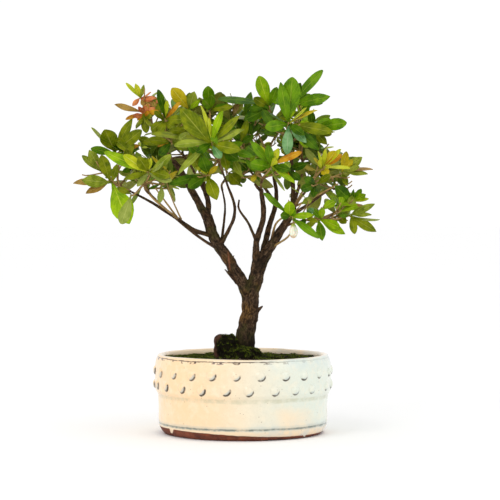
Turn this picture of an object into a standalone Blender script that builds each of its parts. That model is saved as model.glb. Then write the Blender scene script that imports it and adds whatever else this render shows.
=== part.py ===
"""Azalea bonsai in a round glazed pot, built as separate closed solids.

Run it with: blender --background --python part.py
Units are metres and +Z is up. The pot's underside is at z = 0, centred on the origin,
and the tree's front faces -Y. Sizes below are in millimetres times MM.
"""

import math
import random

import bmesh
import bpy
from mathutils import Matrix, Vector
from mathutils.bvhtree import BVHTree

MM = 0.001
GAP = 0.3 * MM  # clearance between two solids that meet
UP = Vector((0, 0, 1))
GOLDEN_ANGLE = math.radians(137.5)

# ---- Pot: radius and height pairs in mm, from the rim down its two faces
POT_STEPS = 46
POT_OUTSIDE = ((79.4, 74.7), (81.2, 73.2), (83.8, 61), (83.8, 45), (80.9, 33), (80.2, 12), (76.9, 2.6),
               (74.5, 0))
POT_INSIDE = ((77.0, 74.7), (75.2, 73), (75.6, 50), (73.0, 18), (66.0, 6.5))
STUDS_PER_ROW = 23
STUD_ROWS = (59.6 * MM, 46.7 * MM)  # heights of the two staggered rows
STUD_BALL = 4.6 * MM
STUD_SUNK = 2.4 * MM
STUD_MERIDIANS = 7
STUD_RINGS = 4
DRAIN_HOLES = 3
DRAIN_RADIUS = 5 * MM
DRAIN_RING = 34 * MM
DRAIN_SIDES = 16
DRAIN_CUT = 30 * MM  # length of the drain cutters

# ---- Ground in the pot
SOIL_TOP = 69.6 * MM
SOIL_FLAT = 62  # radius in mm to which the soil is level
SOIL_DROP = 1.2  # fall in mm from there to the pot's wall
SOIL_CLEAR = 0.6  # gap in mm beside the pot's wall
GROUND_CUT = 100 * MM  # side of the block that cuts the moss off level
MOSS_HEAPS = (((-2, -2, 69.9), (21, 19, 14.5)), ((-13, -3, 75), (10.5, 11, 18.5)))  # centre, half sizes
STUMP_FOOT = Vector((-21.5, -1, 0)) * MM
STUMP_RADIUS = 6.2 * MM
STUMP_TOP = 93 * MM
STUMP_SPREAD = 1.05  # foot of the stump, as a share of its radius
STUMP_ROUND = ((0, 0), (0.45, 0.6), (0.85, 3.2), (1, 7))  # share of the radius, mm below the top
STUMP_STEPS = 14

# ---- Wood: name, limb it leaves, sides, radius at foot and tip, way-points, all in mm
TRUNK_FOOT = SOIL_TOP + GAP
PATH_STEP = 10 * MM
LIMBS = (
    ("trunk", None, 12, 9.6, 7.4,
     ((2.6, 0, TRUNK_FOOT / MM), (2.6, 0, 76), (2.2, 0, 92), (6.4, 0, 114), (6.9, 0, 138))),
    ("left_main", "trunk", 8, 5.8, 5.0,
     ((5.2, 0, 131), (0, 0, 141), (-15.2, 0, 166), (-28, 0, 186), (-34.2, 3, 206))),
    ("left_outer", "left_main", 8, 4.0, 2.4,
     ((-33.8, 3, 203), (-43.8, 3, 220.7), (-59.4, 4, 248.8), (-66.3, 6, 258))),
    ("left_inner", "left_main", 8, 3.0, 2.0,
     ((-33.8, 3, 203), (-33.3, 11, 218), (-37, 20, 232), (-39, 26, 243))),
    ("low_left", "left_main", 6, 2.4, 1.0,
     ((-29, 0, 187), (-46, -9, 192), (-63, -16, 203.7), (-87, -22, 219), (-107, -26, 229.5))),
    ("low_left_back", "left_main", 6, 1.6, 0.9,
     ((-22, 0, 173), (-40, 9, 184), (-62, 15, 201), (-85.7, 24, 222.7))),
    ("left_twig", "low_left", 6, 1.1, 0.8,
     ((-60, -15, 202), (-68, -22, 208.5), (-82, -29, 220), (-89.5, -33, 228.5))),
    ("middle_twig", "left_main", 6, 1.5, 0.9,
     ((-21, 0, 180), (-19.5, 6, 189), (-17.3, 18, 214), (-20.4, 28, 232))),
    ("middle_shoot", "left_main", 6, 2.0, 1.0,
     ((-21, 0, 178), (-9.3, -12, 201.8), (-8.1, -20, 216.2), (-13.5, -28, 232), (-19, -35, 246.7))),
    ("right_main", "trunk", 8, 7.2, 5.8,
     ((7.0, 0, 131), (10.7, 0, 141), (14, 0, 154), (19.9, 0, 169.4))),
    ("right_inner", "right_main", 8, 3.2, 2.2,
     ((14, 0, 160), (12.5, -7, 180), (19.3, -14, 205), (17.1, -20, 231))),
    ("bare_twig", "right_inner", 6, 1.5, 1.0,
     ((12.6, -7, 181.5), (5, -13, 199), (-3.8, -18, 212), (-3.5, -20, 221))),
    ("right_middle", "right_main", 8, 3.2, 1.6,
     ((18, 0, 166), (24.3, 17, 193), (32, 31, 221), (29, 44, 250))),
    ("right_outer", "right_main", 8, 4.9, 3.2,
     ((19.4, 0, 167), (26.5, -2, 177), (42.6, -6, 202.7), (47.8, -5, 213.5))),
    ("right_rise", "right_outer", 8, 2.6, 1.6,
     ((47.2, -5, 212), (47.6, -1, 225), (46.8, 4, 247.4), (45.7, 6, 262))),
    ("right_spread", "right_outer", 6, 2.0, 1.1,
     ((43.4, -6, 205), (60, 12, 215), (82.7, 28, 230.9))),
    ("right_young", "right_outer", 6, 1.3, 0.9,
     ((47.5, -5, 211), (52, -8, 219), (57.1, -11, 226))),
    ("right_side", "right_outer", 6, 1.3, 0.8,
     ((26.5, -2, 181), (31, -12, 198), (40, -24, 206))),
    ("right_low", "right_outer", 6, 1.3, 0.9,
     ((38, -5, 195), (48, -9, 199), (56.5, -11, 201))),
    ("front_twig", "right_outer", 6, 1.1, 0.8,
     ((23, -1, 173), (34, -8, 180), (41.5, -12, 185))),
    ("back_left", "left_inner", 6, 1.8, 1.1,
     ((-35, 16, 226), (-42, 34, 238), (-52, 54, 256))),
    ("back_middle", "right_middle", 6, 1.9, 1.1,
     ((31, 29, 217), (20, 48, 234), (6, 66, 250))),
    ("back_right", "right_outer", 6, 1.9, 1.1,
     ((46, -5, 210), (52, 20, 228), (58, 46, 250))),
)

# ---- Foliage: name, limb that carries it, tips of its shoots in mm
CROWN_CENTRE = Vector((-5, 5, 205)) * MM
FOLIAGE = (
    ("foliage_far_left", "low_left", ((-125, -20, 238), (-121, -6, 267), (-135, -16, 249),
      (-105, -12, 251))),
    ("foliage_low_left", "left_twig", ((-88, -38, 248), (-105, -38, 225), (-74, -38, 236))),
    ("foliage_low_back", "low_left_back", ((-100, 34, 244), (-83, 48, 252), (-71, 36, 234))),
    ("foliage_upper_left", "left_outer", ((-95, 0, 304), (-98, 8, 319), (-74, -8, 298),
      (-67, -14, 276), (-51, 8, 308))),
    ("foliage_top_middle", "left_inner", ((-32, 6, 308), (-53, 20, 292), (-9, 22, 301),
      (-39, 36, 281))),
    ("foliage_inner", "middle_twig", ((-13, 34, 248), (4, 42, 250))),
    ("foliage_front", "middle_shoot", ((-29, -54, 274), (-34, -42, 243), (-49, -44, 285),
      (-18, -48, 269))),
    ("foliage_middle", "right_inner", ((27, -42, 253), (-3, -32, 277), (12, -40, 247), (44, -34, 250))),
    ("foliage_centre_back", "right_middle", ((12, 24, 302), (36, 46, 293), (8, 50, 281))),
    ("foliage_top_right", "right_rise", ((43, -20, 294), (45, -4, 312), (62, 8, 318),
      (68, -4, 290), (24, 4, 312))),
    ("foliage_right", "right_young", ((76, -24, 252), (96, -8, 248), (70, -28, 236))),
    ("foliage_right_back", "right_spread", ((98, 34, 229), (82, 46, 258), (73, 54, 242))),
    ("foliage_far_right", "right_low", ((74, -18, 203), (103, -4, 207), (106, 8, 220), (90, 4, 206))),
    ("foliage_low_front", "right_side", ((44, -40, 205), (59, -36, 206))),
    ("foliage_back_left", "back_left", ((-72, 66, 280), (-54, 74, 298), (-89, 58, 262),
      (-39, 80, 270))),
    ("foliage_back_middle", "back_middle", ((0, 84, 284), (-18, 76, 268), (18, 88, 271), (5, 72, 298))),
    ("foliage_back_right", "back_right", ((56, 60, 280), (77, 66, 270), (46, 78, 268), (61, 44, 295))),
)
CROWN_SEED = 700  # each mass adds its row number to this
TWIG_FOOT = 1.3 * MM
TWIG_TIP = 0.9 * MM
SHOOT_OUT = 0.9  # a shoot's end leans out of the crown by this much
SHOOT_UP = 0.45  # and upward by this much
SHOOT_EASE = 0.35  # reach of a shoot's two handles, as a share of its length
SHOOT_STEPS = 3
FORKS = (0.5, 1)  # stretch of the stem's second step from which shoots fork
STEM_LEAD = 1.5 * MM  # straight stretch of a stem, square to the end of its limb
LEAF_ROLL = math.radians(40)
WHORL = 6  # leaves at the end of a shoot
OLD_OPENING = 82  # degrees between a shoot and its oldest leaf
YOUNG_CLOSING = 50  # degrees by which the youngest leaf stands closer
CLOSING_POWER = 1.4
OPENING_SPREAD = 12
LEAF_SIZES = (0.82, 1.08)
YOUNG_LOSS = 0.4  # share by which the youngest leaf is smaller
SHRINKS = (1, 0.85, 0.7, 0.55)  # sizes tried in turn where a leaf has too little room
WHORL_DEPTH = 8 * MM  # length of twig that a whorl's leaves stand on
LEAF_LENGTH = 44 * MM
LEAF_WIDTH = 22 * MM
LEAF_THICK = 0.7 * MM
LEAF_BROADEST = 1.3  # moves a leaf's widest part past its middle
LEAF_BEND = 0.10  # droop of the tip as a share of the leaf's length
LEAF_SUNK = 0.2 * MM  # how far a leaf's foot lies past the middle of its twig
BUD_POINT = Vector((47.0, -40, 192)) * MM
BUD_HALF = Vector((3.0, 3.0, 5.6)) * MM

# ---- Finishes: colour and roughness
GLAZE = ((0.80, 0.74, 0.60), 0.25)
EARTH = ((0.05, 0.035, 0.02), 0.95)
MOSS_GREEN = ((0.10, 0.14, 0.03), 0.95)
OLD_WOOD = ((0.13, 0.07, 0.045), 0.85)
BARK = ((0.10, 0.062, 0.038), 0.85)
LEAF_GREEN = ((0.16, 0.27, 0.04), 0.45)


# ---- Scene helpers
def clear_scene():
    for obj in list(bpy.data.objects):
        bpy.data.objects.remove(obj, do_unlink=True)


def new_collection(name):
    group = bpy.data.collections.new(name)
    bpy.context.scene.collection.children.link(group)
    return group


def paint(obj, colour, roughness):
    """Give an object its own Principled material."""
    material = bpy.data.materials.new(obj.name + "_finish")
    material.use_nodes = True
    shader = material.node_tree.nodes["Principled BSDF"]
    shader.inputs["Base Color"].default_value = (*colour, 1)
    shader.inputs["Roughness"].default_value = roughness
    obj.data.materials.clear()
    obj.data.materials.append(material)


def add_object(name, mesh, group):
    obj = bpy.data.objects.new(name, mesh)
    group.objects.link(obj)
    return obj


def mesh_from(bm, name):
    mesh = bpy.data.meshes.new(name)
    bm.to_mesh(mesh)
    bm.free()
    return mesh


def worked_out(obj):
    """The object's mesh with its modifiers or its curve bevel worked out."""
    bpy.context.view_layer.update()
    depsgraph = bpy.context.evaluated_depsgraph_get()
    return bpy.data.meshes.new_from_object(obj.evaluated_get(depsgraph))


def welded(mesh):
    """The mesh with doubled points merged and its faces turned outward."""
    bm = bmesh.new()
    bm.from_mesh(mesh)
    bmesh.ops.remove_doubles(bm, verts=bm.verts, dist=0.002 * MM)
    bmesh.ops.recalc_face_normals(bm, faces=bm.faces)
    bm.to_mesh(mesh)
    bm.free()
    return mesh


def keep_outer_skin(mesh):
    """Drop loose scraps and the walls of sealed hollows: keep the largest connected part."""
    bm = bmesh.new()
    bm.from_mesh(mesh)
    left = set(bm.verts)
    parts = []
    while left:
        front = [left.pop()]
        part = set(front)
        while front:
            vert = front.pop()
            near = {edge.other_vert(vert) for edge in vert.link_edges} - part
            part |= near
            front.extend(near)
        left -= part
        parts.append(part)
    largest = max(parts, key=size_of)
    bmesh.ops.delete(bm, geom=[v for v in bm.verts if v not in largest], context="VERTS")
    bm.to_mesh(mesh)
    bm.free()


def size_of(verts):
    spans = []
    for axis in range(3):
        values = [vert.co[axis] for vert in verts]
        spans.append(max(values) - min(values))
    return math.sqrt(sum(span * span for span in spans))


def boolean(obj, other, operation, solver="EXACT"):
    """Apply one Boolean to an object, with another object or a whole collection."""
    modifier = obj.modifiers.new(operation.lower(), "BOOLEAN")
    modifier.operation = operation
    modifier.solver = solver
    if isinstance(other, bpy.types.Collection):
        modifier.operand_type = "COLLECTION"
        modifier.collection = other
    else:
        modifier.object = other
    old = obj.data
    obj.data = worked_out(obj)
    obj.modifiers.remove(modifier)
    bpy.data.meshes.remove(old)
    keep_outer_skin(obj.data)


def hide_cutter(obj, cutters):
    cutters.objects.link(obj)
    obj.hide_render = True
    obj.display_type = "WIRE"


def lathe(name, profile, steps, group):
    """Turn a radius and height profile, in mm, about the Z axis."""
    bm = bmesh.new()
    verts = [bm.verts.new((radius * MM, 0, height * MM)) for radius, height in profile]
    for first, second in zip(verts, verts[1:]):
        bm.edges.new((first, second))
    obj = add_object(name, mesh_from(bm, name), group)
    turn = obj.modifiers.new("turn", "SCREW")
    turn.steps = steps
    turn.render_steps = steps
    turn.use_merge_vertices = True
    turn.merge_threshold = 0.00001
    turn.use_normal_calculate = True
    return obj


def apply_modifiers(obj):
    old = obj.data
    obj.data = welded(worked_out(obj))
    obj.modifiers.clear()
    bpy.data.meshes.remove(old)


# ---- Pot, soil and moss
def make_stud(bm, angle, height):
    """One low round stud, as a ball sunk in the wall with its pole facing out."""
    radius = POT_OUTSIDE[2][0] * MM - STUD_SUNK
    place = Matrix.Rotation(angle, 4, "Z") @ Matrix.Translation((radius, 0, height))
    place = place @ Matrix.Rotation(math.radians(90), 4, "Y")
    bmesh.ops.create_uvsphere(bm, u_segments=STUD_MERIDIANS, v_segments=STUD_RINGS, radius=STUD_BALL,
                              matrix=place)


def make_pot(group, cutters):
    profile = ((0, POT_INSIDE[-1][1]),) + POT_INSIDE[::-1] + POT_OUTSIDE + ((0, 0),)
    pot = lathe("pot", profile, POT_STEPS, group)
    apply_modifiers(pot)
    bm = bmesh.new()
    for row, height in enumerate(STUD_ROWS):
        for number in range(STUDS_PER_ROW):
            turn = (number + row / 2) / STUDS_PER_ROW
            make_stud(bm, turn * math.tau, height)
    studs = bpy.data.objects.new("stud_rows", mesh_from(bm, "stud_rows"))
    hide_cutter(studs, cutters)
    boolean(pot, studs, "UNION")
    bm = bmesh.new()
    for number in range(DRAIN_HOLES):
        turn = Matrix.Rotation(math.tau * number / DRAIN_HOLES, 4, "Z")
        place = turn @ Matrix.Translation((0, DRAIN_RING, 0))
        bmesh.ops.create_cone(bm, cap_ends=True, segments=DRAIN_SIDES, radius1=DRAIN_RADIUS,
                              radius2=DRAIN_RADIUS, depth=DRAIN_CUT, matrix=place)
    drains = bpy.data.objects.new("drain_cutters", mesh_from(bm, "drain_cutters"))
    hide_cutter(drains, cutters)
    boolean(pot, drains, "DIFFERENCE")
    paint(pot, *GLAZE)


def make_soil(group):
    top = SOIL_TOP / MM
    floor = POT_INSIDE[-1][1] + GAP / MM
    edge = POT_INSIDE[1][0] - SOIL_CLEAR
    walls = [(radius - SOIL_CLEAR, height) for radius, height in POT_INSIDE[2:-1]]
    foot = POT_INSIDE[-1][0] - SOIL_CLEAR
    profile = [(0, top), (SOIL_FLAT, top), (edge, top - SOIL_DROP)] + walls + [(foot, floor), (0, floor)]
    soil = lathe("soil", profile, POT_STEPS, group)
    apply_modifiers(soil)
    paint(soil, *EARTH)


def make_stump(group):
    """A dead round-topped stub of old wood beside the trunk."""
    foot = TRUNK_FOOT / MM
    radius = STUMP_RADIUS / MM
    profile = [(radius * share, STUMP_TOP / MM - fall) for share, fall in STUMP_ROUND]
    profile += [(radius * STUMP_SPREAD, foot), (0, foot)]
    stump = lathe("stump", profile, STUMP_STEPS, group)
    apply_modifiers(stump)
    stump.location = (STUMP_FOOT.x, STUMP_FOOT.y, 0)
    paint(stump, *OLD_WOOD)


def make_moss(group, cutters, wood):
    """Two moss heaps about the trunk's foot, flat underneath and clear of the wood."""
    heaps = []
    for centre, half in MOSS_HEAPS:
        bm = bmesh.new()
        place = Matrix.Translation(Vector(centre) * MM) @ Matrix.Diagonal((*(Vector(half) * MM), 1))
        bmesh.ops.create_uvsphere(bm, u_segments=14, v_segments=8, radius=1, matrix=place)
        heaps.append(bpy.data.objects.new("moss_heap", mesh_from(bm, "moss_heap")))
    moss = heaps[0]
    moss.name = "moss"
    group.objects.link(moss)
    hide_cutter(heaps[1], cutters)
    boolean(moss, heaps[1], "UNION")
    bm = bmesh.new()
    place = Matrix.Translation((0, 0, TRUNK_FOOT - GROUND_CUT / 2))
    bmesh.ops.create_cube(bm, size=GROUND_CUT, matrix=place)
    ground = bpy.data.objects.new("ground_cutter", mesh_from(bm, "ground_cutter"))
    hide_cutter(ground, cutters)
    boolean(moss, ground, "DIFFERENCE")
    for cutter in wood:
        boolean(moss, cutter, "DIFFERENCE")
    paint(moss, *MOSS_GREEN)


def stump_cutter(cutters):
    bm = bmesh.new()
    radius = STUMP_RADIUS * STUMP_SPREAD + GAP
    place = Matrix.Translation((STUMP_FOOT.x, STUMP_FOOT.y, STUMP_TOP / 2))
    bmesh.ops.create_cone(bm, cap_ends=True, segments=20, radius1=radius, radius2=radius,
                          depth=STUMP_TOP + 8 * MM, matrix=place)
    cutter = bpy.data.objects.new("stump_cutter", mesh_from(bm, "stump_cutter"))
    hide_cutter(cutter, cutters)
    return cutter


# ---- Wood
def smooth_path(points, step):
    """Catmull-Rom curve through the points, sampled about every step."""
    ends = [points[0] * 2 - points[1]] + list(points) + [points[-1] * 2 - points[-2]]
    path = []
    for before, start, end, after in zip(ends, ends[1:], ends[2:], ends[3:]):
        count = max(1, round((end - start).length / step))
        for number in range(count):
            t = number / count
            bend = (before * -1 + start * 3 - end * 3 + after) * t ** 3
            bend += (before * 2 - start * 5 + end * 4 - after) * t ** 2
            path.append((start * 2 + (end - before) * t + bend) / 2)
    return path + [points[-1]]


def tube(name, path, foot, tip, group, sides=None, section=None):
    """A tapering tube with filled caps, round with an even count of sides, or with a section curve."""
    curve = bpy.data.curves.new(name, "CURVE")
    curve.dimensions = "3D"
    curve.use_fill_caps = True
    if section:
        curve.bevel_mode = "OBJECT"
        curve.bevel_object = section
    else:
        curve.bevel_depth = 1
        curve.bevel_resolution = sides // 2 - 2
    spline = curve.splines.new("POLY")
    spline.points.add(len(path) - 1)
    for number, (point, place) in enumerate(zip(spline.points, path)):
        point.co = (*place, 1)
        share = number / (len(path) - 1)
        point.radius = foot + (tip - foot) * share
    holder = bpy.data.objects.new(name, curve)
    bpy.context.scene.collection.objects.link(holder)
    mesh = welded(worked_out(holder))
    bpy.data.objects.remove(holder, do_unlink=True)
    bpy.data.curves.remove(curve)
    return add_object(name, mesh, group)


def lengthen(path, amount):
    """The path with both of its ends moved out by an amount."""
    first = (path[0] - path[1]).normalized() * amount
    last = (path[-1] - path[-2]).normalized() * amount
    return [path[0] + first] + path[1:-1] + [path[-1] + last]


def tree_of(mesh):
    verts = [vert.co.copy() for vert in mesh.vertices]
    return BVHTree.FromPolygons(verts, [tuple(face.vertices) for face in mesh.polygons])


def make_wood(group, cutters):
    """Every limb in turn, cut clear of the limbs before it that it runs into."""
    limbs = {}
    for name, parent, sides, foot, tip, points in LIMBS:
        path = smooth_path([Vector(point) * MM for point in points], PATH_STEP)
        limb = tube(name, path, foot * MM, tip * MM, group, sides)
        wide = tube(name + "_clear", lengthen(path, GAP), foot * MM + GAP, tip * MM + GAP, cutters, sides)
        wide.hide_render = True
        wide.display_type = "WIRE"
        for other in limbs.values():
            if other["trees"].overlap(tree_of(limb.data)):
                boolean(limb, other["wide"], "DIFFERENCE")
        paint(limb, *BARK)
        limb.data.polygons.foreach_set("use_smooth", [True] * len(limb.data.polygons))
        limbs[name] = {"path": path, "tip": tip * MM, "wide": wide, "trees": tree_of(wide.data)}
    return limbs


# ---- Foliage
def bezier(start, leave, arrive, end, count):
    path = []
    for number in range(count + 1):
        t = number / count
        s = 1 - t
        path.append(start * s ** 3 + leave * (3 * s * s * t) + arrive * (3 * s * t * t) + end * t ** 3)
    return path


def outward(point):
    """The way that a shoot ending at this point faces: out of the crown and up."""
    return ((point - CROWN_CENTRE).normalized() * SHOOT_OUT + UP * SHOOT_UP).normalized()


def shoot_path(start, heading, tip):
    ease = (tip - start).length * SHOOT_EASE
    return bezier(start, start + heading * ease, tip - outward(tip) * ease, tip, SHOOT_STEPS)


def grow_shoots(limb, tips, rng):
    """Twig paths of one mass: a stem to the first tip, and a shoot forking from it to each other."""
    heading = (limb["path"][-1] - limb["path"][-2]).normalized()
    start = limb["path"][-1] + heading * GAP
    stem = [start] + shoot_path(start + heading * STEM_LEAD, heading, tips[0])
    shoots = [stem]
    for tip in tips[1:]:
        fork = stem[1].lerp(stem[2], rng.uniform(*FORKS))
        shoots.append(shoot_path(fork, (stem[2] - stem[1]).normalized(), tip))
    return shoots


def leaf_mesh(length, width, foot, along, face):
    """A leaf from a flattened four-sided ball: widest past its middle, and bent back a little."""
    bm = bmesh.new()
    bmesh.ops.create_uvsphere(bm, u_segments=4, v_segments=2, radius=1)
    across = along.cross(face).normalized()
    face = across.cross(along).normalized()
    for vert in bm.verts:
        x, y, z = vert.co
        share = 1 - ((1 - x) / 2) ** LEAF_BROADEST
        rise = z * LEAF_THICK / 2 - LEAF_BEND * length * share * share
        vert.co = foot + along * share * length + across * y * width / 2 + face * rise
    if bm.calc_volume(signed=True) < 0:
        bmesh.ops.reverse_faces(bm, faces=bm.faces)
    return mesh_from(bm, "leaf")


def leaf_poses(path, count, rng):
    """Where the leaves of one whorl stand: foot, direction, upper side and share of full size."""
    axis = (path[-1] - path[-2]).normalized()
    side = axis.orthogonal().normalized()
    phase = rng.uniform(0, math.tau)
    poses = []
    for number in range(count):
        young = number / (count - 1)
        closing = YOUNG_CLOSING * young ** CLOSING_POWER
        opening = math.radians(OLD_OPENING - closing + rng.uniform(-OPENING_SPREAD, OPENING_SPREAD))
        turned = side.copy()
        turned.rotate(Matrix.Rotation(phase + GOLDEN_ANGLE * number, 3, axis))
        along = (axis * math.cos(opening) + turned * math.sin(opening)).normalized()
        face = axis * math.sin(opening) - turned * math.cos(opening)
        face.rotate(Matrix.Rotation(rng.uniform(-LEAF_ROLL, LEAF_ROLL), 3, along))
        foot = path[-1] - axis * ((1 - young) * WHORL_DEPTH + TWIG_TIP) - along * LEAF_SUNK
        size = rng.uniform(*LEAF_SIZES) * (1 - YOUNG_LOSS * young ** 2)
        poses.append((foot, along, face, size))
    return poses


def in_own_space(point, centre, others):
    """True where a point is nearer to its own mass's centre than to any other's, by a margin."""
    for other in others:
        apart = other - centre
        if (point - (centre + other) / 2).dot(apart) > -GAP * apart.length:
            return False
    return True


def grow_leaves(path, rng, fits, group):
    leaves = []
    for foot, along, face, size in leaf_poses(path, WHORL, rng):
        for shrink in SHRINKS:
            length = LEAF_LENGTH * size * shrink
            mesh = leaf_mesh(length, LEAF_WIDTH * size * shrink, foot, along, face)
            if fits(mesh):
                leaves.append(add_object("leaf", mesh, group))
                break
            bpy.data.meshes.remove(mesh)
    return leaves


def make_section():
    """The three-sided section that every twig is drawn with."""
    curve = bpy.data.curves.new("twig_section", "CURVE")
    curve.dimensions = "2D"
    spline = curve.splines.new("POLY")
    spline.points.add(2)
    spline.use_cyclic_u = True
    for number, point in enumerate(spline.points):
        angle = math.tau * number / 3
        point.co = (math.cos(angle), math.sin(angle), 0, 1)
    section = bpy.data.objects.new("twig_section", curve)
    bpy.context.scene.collection.objects.link(section)
    return section


def make_foliage(group, limbs):
    section = make_section()
    centres = {}
    shoots = {}
    randoms = {}
    for row, (name, limb, tips) in enumerate(FOLIAGE):
        tips = [Vector(tip) * MM for tip in tips]
        randoms[name] = random.Random(CROWN_SEED + row)
        shoots[name] = grow_shoots(limbs[limb], tips, randoms[name])
        centres[name] = sum(tips, Vector()) / len(tips)
    twigs = {}
    for name, paths in shoots.items():
        pieces = bpy.data.collections.new(name + "_pieces")
        bpy.context.scene.collection.children.link(pieces)
        made = [tube("twig", path, TWIG_FOOT, TWIG_TIP, pieces, section=section) for path in paths]
        twigs[name] = (pieces, made, [tree_of(twig.data) for twig in made])
    wood = [limb["trees"] for limb in limbs.values()]
    for name, (pieces, made, _) in twigs.items():
        others = [centre for key, centre in centres.items() if key != name]
        barred = wood + [tree for key, value in twigs.items() if key != name for tree in value[2]]

        def fits(mesh):
            if not all(in_own_space(vert.co, centres[name], others) for vert in mesh.vertices):
                return False
            tree = tree_of(mesh)
            return not any(bar.overlap(tree) for bar in barred)

        for path in shoots[name]:
            made += grow_leaves(path, randoms[name], fits, pieces)
        if name == "foliage_low_front":
            made.append(make_bud(pieces, shoots[name][0][-1]))
        fuse(name, made, pieces, group)
    bpy.data.objects.remove(section, do_unlink=True)


def make_bud(group, stalk_top):
    """The pale flower bud that hangs from the low front shoot, with its short stalk."""
    bm = bmesh.new()
    place = Matrix.Translation(BUD_POINT) @ Matrix.Diagonal((*BUD_HALF, 1))
    bmesh.ops.create_uvsphere(bm, u_segments=8, v_segments=6, radius=1, matrix=place)
    bud = add_object("bud", mesh_from(bm, "bud"), group)
    path = [stalk_top, (stalk_top + BUD_POINT) / 2, BUD_POINT]
    tube("stalk", path, TWIG_TIP, TWIG_TIP, group, sides=4)
    return bud


def fuse(name, made, pieces, group):
    """Join the pieces of one mass into a single closed solid."""
    body = made[0]
    pieces.objects.unlink(body)
    group.objects.link(body)
    body.name = name
    boolean(body, pieces, "UNION", "MANIFOLD")
    for piece in list(pieces.objects):
        bpy.data.objects.remove(piece, do_unlink=True)
    bpy.data.collections.remove(pieces)
    paint(body, *LEAF_GREEN)


def main():
    clear_scene()
    group = new_collection("azalea_bonsai")
    cutters = new_collection("cutters")
    make_pot(group, cutters)
    make_soil(group)
    make_stump(group)
    limbs = make_wood(group, cutters)
    make_moss(group, cutters, [limbs["trunk"]["wide"], stump_cutter(cutters)])
    make_foliage(group, limbs)


main()
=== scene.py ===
"""Azalea bonsai in a round glazed pot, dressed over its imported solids.

Units are metres and +Z is up. The pot stands on z = 0, centred on the origin, and the
tree's front faces -Y. The sections follow the plant as it is potted: pot, soil, stump,
wood, twigs, leaves, bud and moss, and then the studio.
"""

import math
import random

import bpy
import numpy as np
from mathutils import Matrix, Vector, noise
from mathutils.bvhtree import BVHTree
from mathutils.kdtree import KDTree


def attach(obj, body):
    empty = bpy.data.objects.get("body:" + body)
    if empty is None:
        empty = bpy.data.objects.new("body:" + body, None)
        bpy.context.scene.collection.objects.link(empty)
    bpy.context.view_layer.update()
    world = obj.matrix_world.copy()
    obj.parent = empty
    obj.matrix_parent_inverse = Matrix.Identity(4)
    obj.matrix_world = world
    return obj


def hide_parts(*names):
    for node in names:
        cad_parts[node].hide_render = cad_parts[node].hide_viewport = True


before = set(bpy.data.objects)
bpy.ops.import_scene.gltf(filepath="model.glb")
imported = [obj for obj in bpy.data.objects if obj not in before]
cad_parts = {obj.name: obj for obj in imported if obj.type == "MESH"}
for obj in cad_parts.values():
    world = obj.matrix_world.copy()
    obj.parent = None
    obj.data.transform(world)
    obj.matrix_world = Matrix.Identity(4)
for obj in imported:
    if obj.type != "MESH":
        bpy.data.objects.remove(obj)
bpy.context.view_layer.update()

# ---- The thrown pot
# A stoneware bowl turned on a wheel: a studded belly over a waist, a straight lower wall
# with a line cut round it, and an unglazed foot. Three holes in its floor let water out.
MM = 0.001
POT_FACETS = 640
POT_WALL = (
    (30, 0), (60, 0), (73.8, 0), (74.8, 0.5), (76.0, 1.7), (77.0, 2.9), (78.3, 5.0), (79.4, 7.4),
    (79.9, 9.2), (79.9, 9.8), (79.5, 10.2), (79.9, 10.7), (80.2, 11.4), (80.3, 13), (80.4, 16),
    (80.4, 20), (80.4, 24), (80.5, 28), (80.7, 31), (80.9, 33.5), (81.0, 35.2), (80.9, 36.1),
    (81.1, 36.8), (81.7, 38), (82.6, 39.8),
)
BELLY = [(83.4 + 0.55 * math.sin(math.pi * (z - 41.2) / 26), z) for z in np.arange(41.2, 66.8, 0.8)]
POT_LIP = (
    (83.2, 67.6), (82.9, 69.0), (82.5, 70.4), (82.1, 71.5), (81.6, 72.1), (81.4, 72.6), (81.3, 73.2),
    (80.9, 73.9), (80.2, 74.4), (79.2, 74.7), (78.0, 74.7), (76.8, 74.4), (76.0, 73.8), (75.5, 72.8),
    (75.3, 71.2), (75.4, 66), (75.6, 50), (74.6, 34), (73, 18), (70.5, 9.5), (66, 6.5), (48, 6.5),
    (26, 6.5),
)
STUDS_PER_ROW = 23
STUD_ROWS = (59.6, 46.7)
STUD_RADIUS = 4.3
STUD_LIFT = 2.0
STUD_SLIP = 0.022  # how far by hand a stud sits off its place round the pot, in radians
STUD_DROP = 0.7
DRAIN_HOLES = 3
DRAIN_RADIUS = 5
DRAIN_RING = 34
FOOT_LINE = 10.5 * MM
WAIST_LINE = 36.4 * MM
LIP_LINE = 72.0 * MM


def select_only(*objs):
    bpy.ops.object.select_all(action="DESELECT")
    for obj in objs:
        obj.select_set(True)
    bpy.context.view_layer.objects.active = objs[0]


def name_piece(name):
    """Name the object that was just made, and keep it alone selected."""
    obj = bpy.context.object
    obj.name = name
    obj.data.name = name
    select_only(obj)
    return obj


def apply_modifier(obj, kind, **settings):
    modifier = obj.modifiers.new(kind.lower(), kind)
    for key, value in settings.items():
        setattr(modifier, key, value)
    select_only(obj)
    bpy.ops.object.modifier_apply(modifier=modifier.name)


def uneven(obj, size, strength):
    """Push a surface in and out by hand-made unevenness of one size, in mm."""
    clouds = bpy.data.textures.new("unevenness", "CLOUDS")
    clouds.noise_scale = size * MM
    clouds.noise_depth = 1
    apply_modifier(obj, "DISPLACE", texture=clouds, strength=strength * MM, mid_level=0.5)


def points_of(obj):
    points = np.empty(len(obj.data.vertices) * 3)
    obj.data.vertices.foreach_get("co", points)
    return points.reshape(-1, 3)


def move_points(obj, points):
    obj.data.vertices.foreach_set("co", np.asarray(points, np.float32).ravel())
    obj.data.update()


def note_on(obj, name, values):
    """Keep a number for each vertex, for the material to read."""
    layer = obj.data.attributes.new(name, "FLOAT", "POINT")
    layer.data.foreach_set("value", np.asarray(values, np.float32))


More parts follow.
